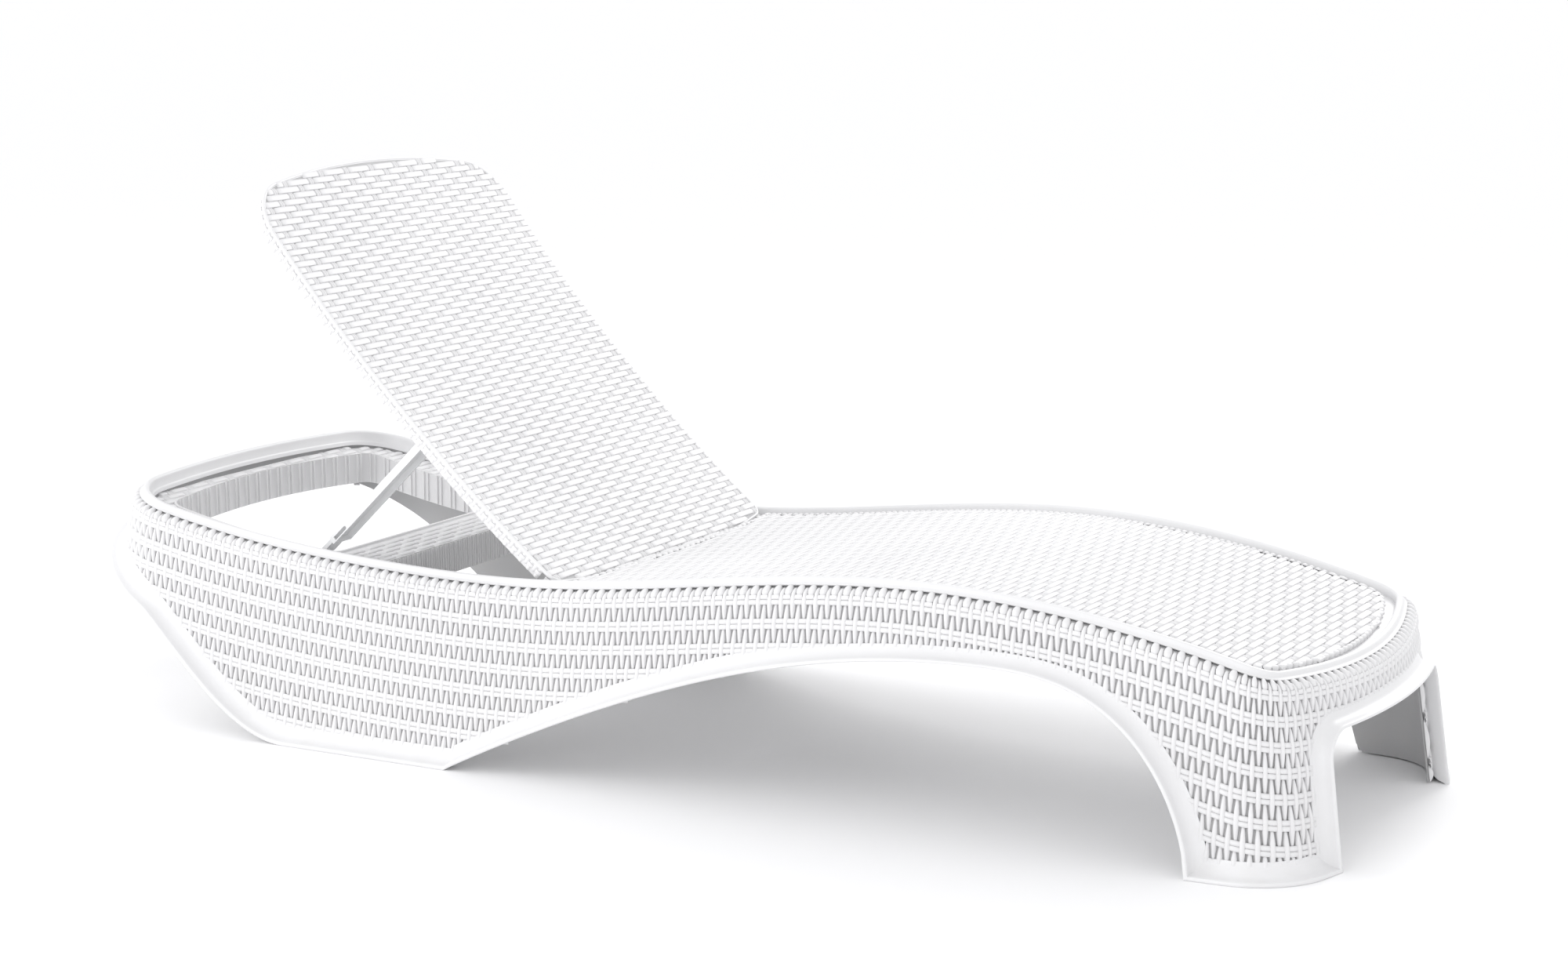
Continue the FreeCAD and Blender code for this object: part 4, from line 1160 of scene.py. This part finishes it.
@dataclass
class SheetWeave:
    """Plain weave moulded on a sheet: long floats across the width, with warp knots between them.

    Attributes:
        sheet: The sheet it lies on.
        warp_pitch: Distance between warps across the width.
        row_pitch: Distance between floats along the length.
        side: 1 for the upper face, -1 for the lower one.
        depth: Depth of the face below the sheet's own face.
        warp_half: Half width of a warp.
        gap: Gap between a float's end and the warp beside it.
        fill: Half width of a float, as a share of the row pitch.
    """

    sheet: Sheet
    warp_pitch: float = 31.0
    row_pitch: float = 10.0
    side: float = 1.0
    depth: float = 0.0
    warp_half: float = 4.4
    gap: float = 1.7
    fill: float = 0.482

    def surface(self, x: Array, y: Array, h: Array) -> Array:
        """Point over the woven face."""
        return self.sheet.surface(x, y, self.side * h - self.depth)

    def strands(self, parts: MeshParts, x0: float, x1: float, spans: Spans) -> None:
        """Adds the strands between two places along the length.

        Args:
            parts: Where they go.
            x0, x1: The two places.
            spans: Gives the stretches (y from, y to) that a row at x may cover.
        """
        rows, starts, stops = [], [], []
        knots_x, knots_y = [], []
        for k in range(int(math.ceil(x0 / self.row_pitch)), int(math.floor(x1 / self.row_pitch)) + 1):
            x = k * self.row_pitch
            offset = self.warp_pitch if k % 2 else 0.0
            for lo, hi in spans(x):
                n0 = int(math.floor((lo - offset) / (2.0 * self.warp_pitch))) - 1
                n1 = int(math.ceil((hi - offset) / (2.0 * self.warp_pitch))) + 1
                for n in range(n0, n1 + 1):
                    mid = offset + 2.0 * self.warp_pitch * n
                    a = max(lo, mid - self.warp_pitch + self.warp_half + self.gap)
                    b = min(hi, mid + self.warp_pitch - self.warp_half - self.gap)
                    if b - a > 5.0:
                        rows.append(x)
                        starts.append(a)
                        stops.append(b)
                    y = mid + self.warp_pitch
                    if lo + self.warp_half < y < hi - self.warp_half:
                        knots_x.append(x)
                        knots_y.append(y)
        if rows:
            half = self.fill * self.row_pitch
            parts.grid(FLOAT.lay(self.surface, np.array(rows), np.array(starts), np.array(stops), half))
        if knots_x:
            kx, ky = np.array(knots_x), np.array(knots_y)
            for shift in (-0.5, 0.5):
                y = ky + shift * self.warp_half
                reach = 0.62 * self.row_pitch
                knots = KNOT.lay(self.surface, y, kx - reach, kx + reach, 0.47 * self.warp_half, crosswise=True)
                parts.grid(knots)

    def slab(self, parts: MeshParts, panel: Panel, top: float, bottom: float, across: int = 12) -> None:
        """Adds a closed slab with the panel's outline.

        Args:
            parts: Where it goes.
            panel: Its outline.
            top, bottom: Depths of its two faces below the sheet's own face.
            across: Points across the width.
        """
        half = panel.half[::3] if len(panel.half) > 200 else panel.half
        if not np.allclose(half[-1], panel.half[-1]):
            half = np.concatenate([half, panel.half[-1:]])
        t = np.linspace(-1.0, 1.0, across)
        x = np.broadcast_to(half[:, :1], (len(half), across))
        y = half[:, 1:] * t[None, :]
        upper = self.sheet.surface(x, y, np.full(x.shape, -top))
        lower = self.sheet.surface(x, y, np.full(x.shape, -bottom))
        parts.grid(upper)
        parts.grid(lower[:, ::-1])
        rim_top = np.concatenate([upper[:, 0], upper[::-1, -1]])
        rim_low = np.concatenate([lower[:, 0], lower[::-1, -1]])
        parts.grid(np.stack([rim_top, rim_low], 1), closed_u=True)


def well_panel(grow: float = 0.0) -> Panel:
    """Outline of the opening under the head of the backrest."""
    h0 = float(half_width(WELL_START)) - SIDE_LEDGE + grow
    h1 = float(half_width(WELL_END)) - SIDE_LEDGE + grow
    corner = WELL_CORNER + grow
    return Panel(rounded_outline(WELL_START - grow, WELL_END + grow, h0, h1, corner, corner, WELL_BOW, 1.0))


def gap_panel(grow: float = 0.0) -> Panel:
    """Outline of the opening between the beam and the seat."""
    end = HINGE_X + BACK_TAIL + 9.0
    h0 = float(half_width(BEAM_END)) - SIDE_LEDGE + grow
    h1 = float(half_width(end)) - SIDE_LEDGE + grow
    corner = GAP_CORNER + grow
    return Panel(rounded_outline(BEAM_END - grow, end + grow, h0, h1, corner, corner, 1.0, GAP_BOW))


@dataclass
class Ledges:
    """Woven ledges round the openings, the cross beam and the ribbed walls of the openings."""

    weave: SheetWeave = field(
        default_factory=lambda: SheetWeave(
            Sheet(BAND_DROP), depth=0.4, row_pitch=14.0, warp_pitch=24.0, fill=0.36
        )
    )
    head_end: float = 109.861
    sheet_top: float = 3.0
    sheet_bottom: float = 4.0

    def spans(self) -> Spans:
        """Makes the function that gives the stretches of ledge at a place."""
        well, gap = well_panel(3.5), gap_panel(3.5)

        def at(x: float) -> list[tuple[float, float]]:
            """Stretches of ledge at x, on both sides of an opening."""
            arr = np.array(x)
            outer = float(ledge_outer(arr))
            inner = max(float(well.width(arr)), float(gap.width(arr)))
            if outer < 5.0:
                return []
            if inner <= 0.0:
                return [(-outer, outer)]
            return [(-outer, -inner), (inner, outer)]

        return at

    def sheet_part(self, name: str, node: str, x0: float, x1: float, side: int) -> bpy.types.Object:
        """Builds one woven ledge piece.

        Args:
            name: Name of the piece.
            node: The CAD node that it replaces.
            x0, x1: Where it starts and ends along the length.
            side: -1 for the right side, 1 for the left, 0 for the whole width.

        Returns:
            The dressed piece.
        """
        well, gap = well_panel(0.0), gap_panel(0.0)
        xs = np.unique(np.concatenate([np.arange(x0, x1, 6.0), [x1], self.corner_stations(x0, x1)]))
        parts = MeshParts()
        outer = ledge_outer(xs)
        inner = np.maximum(well.width(xs), gap.width(xs))
        sides = (-1, 1) if side == 0 else (side,)
        for s in sides:
            t = np.linspace(0.0, 1.0, 6)[None, :]
            y = s * (inner[:, None] + (outer - inner)[:, None] * t)
            x = np.broadcast_to(xs[:, None], y.shape)
            top = self.weave.sheet.surface(x, y, np.full(y.shape, -self.sheet_top))
            low = self.weave.sheet.surface(x, y, np.full(y.shape, -self.sheet_bottom))
            parts.grid(np.concatenate([top, low[:, ::-1]], 1), closed_v=True)

        full = self.spans()
        limit = float(half_width(BEAM_END)) - SIDE_LEDGE

        def clipped(x: float) -> list[tuple[float, float]]:
            """Stretches at x on the piece's own side, clear of the beam."""
            cut = [(max(a, limit), b) if side > 0 else (a, min(b, -limit)) for a, b in full(x)]
            return [(a, b) for a, b in cut if b - a > 4.0]

        self.weave.strands(parts, x0, x1, clipped if side else full)
        obj = parts.build(name, angle=60.0)
        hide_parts(node)
        return dress(obj, WOVEN_WHITE, Body.BASE)

    @staticmethod
    def corner_stations(x0: float, x1: float) -> Array:
        """Extra places where an opening starts, ends or turns a corner.

        Args:
            x0, x1: The stretch of the length to look at.

        Returns:
            Places along the length.
        """
        got = []
        for panel in (well_panel(), gap_panel()):
            xs = panel.half[:, 0]
            got += [xs[0] - 0.01, xs[0] + 0.01, xs[-1] - 0.01, xs[-1] + 0.01]
            got += list(xs[(xs < xs[0] + 40.0) | (xs > xs[-1] - 40.0)][::5])
        return np.array([g for g in got if x0 < g < x1])

    def wall(self, name: str, node: str, panel: Panel, rib_pitch: float) -> bpy.types.Object:
        """Builds the ribbed wall that hangs from the edge of an opening.

        Args:
            name: Name of the piece.
            node: The CAD node that it replaces.
            panel: Outline of the opening.
            rib_pitch: Distance between pairs of ribs.

        Returns:
            The dressed piece.
        """
        count = int(panel.length / 7.0)
        runs = np.linspace(0.0, panel.length, count, endpoint=False)
        parts = MeshParts()

        def point(run: Array, v: Array, h: Array) -> Array:
            """Point on the wall: v down from the ledge, h towards the opening."""
            px, py, qx, qy = panel.at(run)
            return to_frame(px - qx * h, py - qy * h, smooth_level(px) - BAND_DROP - v)

        low = WELL_DEPTH + 4.0
        section = np.array([(0.0, 0.5), (0.6, 0.0), (low, 0.0), (low, -3.0), (0.5, -3.0)])
        u = np.broadcast_to(runs[:, None], (count, len(section)))
        ring = point(u, section[None, :, 0] + 0.0 * u, section[None, :, 1] + 0.0 * u)
        parts.grid(ring, closed_u=True, closed_v=True)
        rib = StrandShape(
            along=(-1.0, -0.96, 0.96, 1.0), width_at=(0.8, 1.0, 1.0, 0.8), height_at=(0.4, 3.0, 2.8, 0.4),
            across=(-1.0, -0.6, 0.6, 1.0), round_at=(0.0, 0.9, 0.9, 0.0), sink=0.5,
        )
        pairs = max(6, int(panel.length / rib_pitch))
        centres = (np.arange(pairs) + 0.5) * panel.length / pairs
        for shift in (-4.0, 4.0):
            top, low = np.full(pairs, 0.8), np.full(pairs, WELL_DEPTH + 3.4)
            parts.grid(rib.lay(point, centres + shift, top, low, 1.5))
        obj = parts.build(name, angle=50.0)
        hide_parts(node)
        return dress(obj, WOVEN_WHITE, Body.BASE)

    def build(self) -> list[bpy.types.Object]:
        """Builds the ledges, the beam and the two walls."""
        return [
            self.sheet_part("head ledge", "ledge_head", 16.0, self.head_end, 0),
            self.sheet_part("right side ledge", "ledge_side_right", self.head_end, HINGE_X + BACK_TAIL, -1),
            self.sheet_part("left side ledge", "ledge_side_left", self.head_end, HINGE_X + BACK_TAIL, 1),
            self.beam(),
            self.wall("well wall", "well_wall", well_panel(), 26.0),
            self.wall("gap wall", "gap_wall", gap_panel(), 12.0),
        ]

    def beam(self) -> bpy.types.Object:
        """The woven beam between the two openings."""
        parts = MeshParts()
        limit = float(half_width(BEAM_END)) - SIDE_LEDGE
        xs = np.linspace(WELL_END + 0.5, BEAM_END - 0.5, 9)
        y = np.broadcast_to(np.linspace(-limit, limit, 12)[None, :], (9, 12))
        x = np.broadcast_to(xs[:, None], y.shape)
        top = self.weave.sheet.surface(x, y, np.full(y.shape, -self.sheet_top))
        low = self.weave.sheet.surface(x, y, np.full(y.shape, -self.sheet_bottom))
        parts.grid(np.concatenate([top, low[:, ::-1]], 1), closed_v=True)
        self.weave.strands(parts, WELL_END + 6.0, BEAM_END - 4.0, lambda _x: [(-limit, limit)])
        obj = parts.build("cross beam", angle=60.0)
        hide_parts("cross_beam")
        return dress(obj, WOVEN_WHITE, Body.BASE)


def ledge_outer(x: Array) -> Array:
    """Half width of the space inside the rim band, at the ledges.

    Args:
        x: Places along the length.

    Returns:
        Half widths; zero outside the space.
    """
    start = len(RIM.runs) // 2
    xs = RIM.x[start:] - RIM.nx[start:] * 12.0
    ys = -(RIM.y[start:] - RIM.ny[start:] * 12.0)
    order = np.argsort(xs)
    xs, ys = xs[order], ys[order]
    inside = (x > xs[0]) & (x < xs[-1])
    return np.where(inside, np.interp(x, xs, ys), 0.0)


@dataclass
class EdgeBinding:
    """Strands that wrap over the edge of a woven panel, one beside another.

    Attributes:
        panel, sheet: The panel's outline and the sheet it lies on.
        pitch: Distance between strands.
        reach: How far in over the face they start.
        depth: How far down the side they go.
        half: Half width of a strand.
        radius: Radius of the rounded edge.
    """

    panel: Panel
    sheet: Sheet
    pitch: float
    reach: float = 5.0
    depth: float = 8.0
    half: float = 3.6
    radius: float = 3.0

    def point(self, run: Array, v: Array, h: Array) -> Array:
        """Point over the rounded edge.

        Args:
            run: Distance along the outline.
            v: Distance from the face, over the edge, down the side.
            h: Height off the surface.

        Returns:
            Points in the frame, in metres.
        """
        x, y, nx, ny = self.panel.at(run)
        r = self.radius
        arc = r * math.pi / 2.0
        flat = np.clip(v, None, self.reach - r)
        turn = np.clip((v - (self.reach - r)) / arc, 0.0, 1.0) * math.pi / 2.0
        down = np.maximum(v - (self.reach - r) - arc, 0.0)
        out = flat - self.reach + (r + h) * np.sin(turn)
        lift = -r + (r + h) * np.cos(turn) - down
        return self.sheet.surface(x + nx * out, y + ny * out, lift)

    def strands(self, parts: MeshParts, start: float, stop: float) -> None:
        """Adds the wrapped strands.

        Args:
            parts: Where they go.
            start, stop: Where they start and end along the outline.
        """
        count = max(2, int((stop - start) / self.pitch))
        runs = start + (np.arange(count) + 0.5) * (stop - start) / count
        shape = StrandShape(
            along=(-1.0, -0.85, -0.5, -0.2, 0.1, 0.4, 0.8, 1.0),
            width_at=(0.7, 0.95, 1.0, 1.0, 1.0, 1.0, 0.95, 0.8),
            height_at=(-1.6, 0.2, 0.9, 1.1, 1.1, 1.0, 0.6, -0.6),
            across=(-1.0, -0.75, 0.0, 0.75, 1.0), round_at=(0.0, 0.8, 1.0, 0.8, 0.0), sink=1.6,
        )
        total = self.reach - self.radius + self.radius * math.pi / 2.0 + self.depth - self.radius
        parts.grid(shape.lay(self.point, runs, np.full(count, -1.0), np.full(count, total), self.half))


@dataclass
class Seat:
    """Seat deck with its weave and wrapped edges, over the smooth pan.

    Attributes:
        weave: The weave on the deck.
        arc_start: Where the deck's head edge starts at its corners, past the hinge line.
        arc_bow: How far that edge bows towards the foot in its middle.
        arc_spread: Half width of the bow, past the rim's half width at the hinge.
        inset: How far the sheet under the weave stays in from the deck's edge.
        foot_binding: Stretch of edge, from the middle of the foot, that has wide binding strands.
    """

    weave: SheetWeave = field(default_factory=lambda: SheetWeave(Sheet(DECK_TOP), depth=0.6))
    arc_start: float = 9.0
    arc_bow: float = 30.0
    arc_spread: float = 40.0
    inset: float = 2.2
    foot_binding: float = 330.0

    def outline(self) -> Array:
        """Right half of the deck's outline, before its head edge is cut."""
        return rounded_outline(
            HINGE_X - 60.0, RIM_LENGTH - 21.0, float(half_width(HINGE_X)) - PANEL_CLEARANCE,
            float(half_width(RIM_LENGTH)) - PANEL_CLEARANCE, 20.0, 46.0, 1.0, 46.0,
        )

    def arc_radius(self) -> float:
        """Radius of the bowed head edge."""
        half = float(half_width(HINGE_X)) + self.arc_spread
        return (half * half + self.arc_bow**2) / (2.0 * self.arc_bow)

    def arc(self, y: Array) -> Array:
        """Place of the bowed head edge along the length, at places across the width."""
        radius = self.arc_radius()
        return HINGE_X + self.arc_start + self.arc_bow - (radius - np.sqrt(radius**2 - y**2))

    def panel(self) -> Panel:
        """Outline of the deck, with its bowed head edge beside the backrest."""
        full = self.outline()
        kept = full[(full[:, 0] > self.arc(full[:, 1])) & (full[:, 0] > HINGE_X + self.arc_start - 1.0)]
        ys = np.linspace(0.0, kept[0, 1], 60)
        return Panel(np.concatenate([np.stack([self.arc(ys), ys], 1), kept]))

    def spans(self) -> Spans:
        """Makes the function that gives the stretches of weave at a place."""
        whole = Panel(self.outline())
        radius = self.arc_radius()

        def at(x: float) -> list[tuple[float, float]]:
            """Stretches of weave at x, clear of the binding."""
            w = float(whole.width(np.array(x))) - 5.5
            if w < 4.0:
                return []
            d = HINGE_X + self.arc_start + self.arc_bow - x + 5.0
            if d > 0.0:
                inner = math.sqrt(max(0.0, radius**2 - (radius - d) ** 2))
                return [(-w, -inner), (inner, w)] if inner < w - 4.0 else []
            return [(-w, w)]

        return at

    def binding(self, panel: Panel) -> bpy.types.Object:
        """Builds the strands wrapped over the deck's edge.

        Args:
            panel: Outline of the deck.

        Returns:
            The dressed piece.
        """
        edge = MeshParts()
        sheet = self.weave.sheet
        corner = panel.runs[60]
        foot = panel.runs[-1] - self.foot_binding
        side = EdgeBinding(panel, sheet, 9.6)
        side.strands(edge, corner, foot)
        side.strands(edge, panel.length - foot, panel.length - corner)
        EdgeBinding(panel, sheet, 15.0, half=6.4).strands(edge, foot, panel.length - foot)
        EdgeBinding(panel, sheet, 15.0, half=6.0).strands(edge, -corner, corner)
        return dress(edge.build("seat deck binding", angle=60.0), WOVEN_WHITE, Body.BASE)

    def build(self) -> list[bpy.types.Object]:
        """Builds the deck and its binding, and dresses the pan and the front wall."""
        panel = self.panel()
        parts = MeshParts()
        self.slab(parts, panel)
        self.weave.strands(parts, HINGE_X + 10.0, RIM_LENGTH - 24.0, self.spans())
        obj = parts.build("seat deck weave", angle=60.0)
        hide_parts("seat_deck")
        made = [dress(obj, WOVEN_WHITE, Body.BASE), self.binding(panel)]
        for node in ("seat_pan", "seat_front_wall"):
            made.append(dress(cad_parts[node], SMOOTH_WHITE))
        return made

    def slab(self, parts: MeshParts, panel: Panel) -> None:
        """Adds the sheet under the deck's weave.

        Args:
            parts: Where it goes.
            panel: Outline of the deck.
        """
        across = 12
        t = np.linspace(-1.0, 1.0, across)
        runs = np.concatenate([panel.runs[::2], panel.runs[-1:]])
        x, y, nx, ny = panel.at(runs)
        x, y = x - nx * self.inset, -(y - ny * self.inset)
        xx = np.broadcast_to(x[:, None], (len(x), across))
        yy = y[:, None] * t[None, :]
        upper = self.weave.sheet.surface(xx, yy, np.full(xx.shape, -4.2))
        lower = self.weave.sheet.surface(xx, yy, np.full(xx.shape, -7.9))
        parts.grid(upper)
        parts.grid(lower[:, ::-1])
        top = np.concatenate([upper[:, 0], upper[::-1, -1]])
        low = np.concatenate([lower[:, 0], lower[::-1, -1]])
        parts.grid(np.stack([top, low], 1), closed_u=True)


@dataclass
class Backrest:
    """Hinged backrest: woven panel, bead, woven side wall and its small fittings."""

    sheet: Sheet = field(default_factory=lambda: Sheet(0.0, raised=True))

    def panel(self, inset: float = 0.0) -> Panel:
        """Outline of the backrest, moved inwards by an inset."""
        return Panel(
            rounded_outline(
                15.0 + inset, HINGE_X + BACK_TAIL - inset, float(half_width(0.0)) - PANEL_CLEARANCE - inset,
                float(half_width(HINGE_X)) - PANEL_CLEARANCE - inset, 80.0 - inset, 22.0 - inset, 33.0, 26.0,
            )
        )

    def face(self, name: str, side: float) -> bpy.types.Object:
        """Builds the weave of one face.

        Args:
            name: Name of the piece.
            side: 1 for the front, -1 for the rear.

        Returns:
            The dressed piece.
        """
        parts = MeshParts()
        inner = self.panel(BEAD)
        depth = 0.8 if side > 0 else BACK_SHEET - 1.6
        weave = SheetWeave(self.sheet, side=side, depth=depth)

        def spans(x: float) -> list[tuple[float, float]]:
            """Stretch of weave at x, up to the bead."""
            w = float(inner.width(np.array(x))) + 2.4
            return [(-w, w)] if w > 8.0 else []

        weave.strands(parts, 20.0, HINGE_X + 20.0, spans)
        return dress(parts.build(name, angle=60.0), WOVEN_WHITE, Body.BACKREST)

    def bead(self) -> bpy.types.Object:
        """Smooth bead round the edge."""
        panel = self.panel(2.4)
        runs = np.linspace(0.0, panel.length, 560, endpoint=False)
        x, y, nx, ny = panel.at(runs)
        turns = np.linspace(0.0, 2.0 * math.pi, 10, endpoint=False)
        out = 2.4 * np.cos(turns)[None, :]
        lift = 3.0 * np.sin(turns)[None, :] - 4.0
        xx = x[:, None] + nx[:, None] * out
        yy = y[:, None] + ny[:, None] * out
        parts = MeshParts()
        parts.grid(self.sheet.surface(xx, yy, lift + 0.0 * xx), closed_u=True, closed_v=True)
        obj = parts.build("backrest bead", angle=80.0)
        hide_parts("back_edge_bead")
        return dress(obj, SMOOTH_WHITE, Body.BACKREST)

    def side_wall(self) -> bpy.types.Object:
        """Side wall with its row of loops."""
        panel = self.panel(0.6)
        limit = HINGE_X - 26.0
        reach = float(np.interp(limit, panel.half[:, 0], panel.runs))
        parts = MeshParts()

        def point(run: Array, v: Array, h: Array) -> Array:
            """Point on the side wall: v down from the face, h outwards."""
            x, y, nx, ny = panel.at(run)
            return self.sheet.below(x + nx * h, y + ny * h, v)

        runs = np.linspace(-reach, reach, 420)
        low = BACK_SIDE_DEPTH
        section = np.array([(3.0, -2.0), (low - 1.0, -2.0), (low, -2.6), (low, -4.2), (3.0, -4.2)])
        u = np.broadcast_to(runs[:, None], (len(runs), len(section)))
        parts.grid(point(u, section[None, :, 0] + 0.0 * u, section[None, :, 1] + 0.0 * u), closed_v=True)
        count = int(2.0 * reach / 8.0) // 2 * 2
        centres = -reach + (np.arange(count) + 0.5) * 2.0 * reach / count
        loop = StrandShape(
            along=(-1.0, -0.8, -0.3, 0.3, 0.8, 1.0), width_at=(0.8, 1.0, 1.0, 1.0, 0.9, 0.6),
            height_at=(-1.0, 0.1, 0.3, 0.3, 0.0, -1.4),
            across=(-1.0, -0.7, 0.0, 0.7, 1.0), round_at=(0.0, 0.8, 1.0, 0.8, 0.0), sink=2.2,
        )
        over, under = centres[::2], centres[1::2]
        full = np.ones(len(over))
        parts.grid(loop.lay(point, over, 3.0 * full, 17.0 * full, 3.7))
        parts.grid(loop.lay(point, under, 3.0 * full, 9.5 * full, 3.2, lift=-0.5))
        parts.grid(loop.lay(point, under, 14.5 * full, 22.0 * full, 3.2, lift=-0.5))
        strip = BAND_STRIP.lay(point, 12.0 * full, under - 5.0, under + 5.0, 2.6, lift=-0.4, crosswise=True)
        parts.grid(strip)
        obj = parts.build("backrest side wall", angle=60.0)
        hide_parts("back_side_wall")
        return dress(obj, WOVEN_WHITE, Body.BACKREST)

    def build(self) -> list[bpy.types.Object]:
        """Builds the panel, bead and side wall and dresses the fittings."""
        slab = MeshParts()
        SheetWeave(self.sheet).slab(slab, self.panel(3.0), 3.4, BACK_SHEET - 3.0, across=14)
        core = slab.build("backrest core", angle=60.0)
        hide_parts("back_panel")
        made = [
            # The core under the weave gets the grey finish: painted shade seen between the strands.
            dress(core, RECESS_PAINTED_SHADE, Body.BACKREST),
            self.face("backrest front weave", 1.0),
            self.face("backrest rear weave", -1.0),
            self.bead(),
            self.side_wall(),
        ]
        for side in ("right", "left"):
            for node in (f"hinge_ear_{side}", f"arm_lug_{side}"):
                made.append(dress(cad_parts[node], SMOOTH_WHITE))
        return made


@dataclass
class Fittings:
    """Hinge sockets, arm rests and prop arms, which keep their CAD shape."""

    def build(self) -> list[bpy.types.Object]:
        """Dresses them."""
        made = []
        for side in ("right", "left"):
            made.append(dress(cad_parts[f"hinge_socket_{side}"], SMOOTH_WHITE))
            made.append(dress(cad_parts[f"prop_rest_{side}"], SMOOTH_WHITE))
            # The prop arms get the lighter finish: painted highlight.
            made.append(dress(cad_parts[f"prop_arm_{side}"], ARM_PAINTED_HIGHLIGHT))
        return made


# ---- Studio ---------------------------------------------------------------------------------


@dataclass(frozen=True)
class Lamp:
    """One soft area lamp.

    Attributes:
        name: Its name.
        place: Where it stands.
        aim: What it points at.
        size: Side of its square face.
        power: Watts.
        colour: Its colour.
    """

    name: str
    place: tuple[float, float, float]
    aim: tuple[float, float, float]
    size: float
    power: float
    colour: tuple[float, float, float] = (1.0, 1.0, 1.0)

    def build(self) -> bpy.types.Object:
        """Adds the lamp."""
        data = bpy.data.lights.new(self.name, "AREA")
        data.shape = "SQUARE"
        data.size = self.size
        data.energy = self.power
        data.color = self.colour
        obj = bpy.data.objects.new(self.name, data)
        obj.location = self.place
        obj.rotation_euler = (Vector(self.aim) - Vector(self.place)).to_track_quat("-Z", "Y").to_euler()
        bpy.context.scene.collection.objects.link(obj)
        return obj


@dataclass
class Studio:
    """Pale floor, soft lamps, pale surroundings and the camera."""

    azimuth: float = 28.92
    elevation: float = 10.49
    distance: float = 4.370
    target: tuple[float, float, float] = (0.0505, 0.0, 0.3796)
    lens: float = 70.2

    def floor(self) -> bpy.types.Object:
        """Adds the floor."""
        size = 400.0
        mesh = bpy.data.meshes.new("studio_floor")
        corners = [(-size, -size, 0.0), (size, -size, 0.0), (size, size, 0.0), (-size, size, 0.0)]
        mesh.from_pydata(corners, [], [(0, 1, 2, 3)])
        obj = bpy.data.objects.new("studio floor", mesh)
        bpy.context.scene.collection.objects.link(obj)
        mat = bpy.data.materials.new("pale floor")
        mat.use_nodes = True
        tree = mat.node_tree
        shader = tree.nodes["Principled BSDF"]
        shader.inputs["Roughness"].default_value = 0.75
        shader.inputs["Specular IOR Level"].default_value = 0.2
        noise = tree.nodes.new("ShaderNodeTexNoise")
        noise.inputs["Scale"].default_value = 1.5
        mix = tree.nodes.new("ShaderNodeMix")
        mix.data_type = "RGBA"
        mix.inputs["A"].default_value = (0.935, 0.935, 0.94, 1.0)
        mix.inputs["B"].default_value = (0.95, 0.95, 0.953, 1.0)
        tree.links.new(noise.outputs["Fac"], mix.inputs["Factor"])
        tree.links.new(mix.outputs["Result"], shader.inputs["Base Color"])
        mesh.materials.append(mat)
        return obj

    def surroundings(self) -> None:
        """Sets pale even surroundings."""
        world = bpy.data.worlds.new("pale surroundings")
        world.use_nodes = True
        back = world.node_tree.nodes["Background"]
        back.inputs["Color"].default_value = (0.99, 0.99, 1.0, 1.0)
        back.inputs["Strength"].default_value = 0.90
        bpy.context.scene.world = world

    def camera(self) -> bpy.types.Object:
        """Adds the camera."""
        az, el = math.radians(self.azimuth), math.radians(self.elevation)
        aim = Vector(self.target)
        away = Vector((math.sin(az) * math.cos(el), -math.cos(az) * math.cos(el), math.sin(el)))
        data = bpy.data.cameras.new("camera")
        data.lens = self.lens
        data.sensor_width = 36.0
        data.clip_end = 100.0
        obj = bpy.data.objects.new("camera", data)
        obj.location = aim + away * self.distance
        obj.rotation_euler = (-away).to_track_quat("-Z", "Y").to_euler()
        bpy.context.scene.collection.objects.link(obj)
        bpy.context.scene.camera = obj
        return obj

    def build(self) -> None:
        """Builds the whole studio."""
        scene = bpy.context.scene
        scene.view_settings.view_transform = "Standard"
        scene.view_settings.look = "None"
        scene.view_settings.exposure = 0.25
        self.floor()
        self.surroundings()
        Lamp("key lamp", (0.6, 3.2, 2.4), (0.1, 0.0, 0.3), 1.6, 40.0, (1.0, 0.995, 0.985)).build()
        Lamp("head lamp", (-3.2, -2.6, 1.6), (-0.3, 0.0, 0.3), 2.0, 34.0).build()
        Lamp("front lamp", (0.4, -3.4, 0.7), (0.3, 0.0, 0.0), 1.6, 13.0).build()
        self.camera()
        LOG.info("studio ready")


def main() -> None:
    """Builds the lounger's looks and its studio, in order."""
    SkirtWeave().build()
    KickLips().build()
    Rim().build()
    Ledges().build()
    Seat().build()
    Backrest().build()
    Fittings().build()
    Studio().build()


if __name__ == "__main__":
    main()
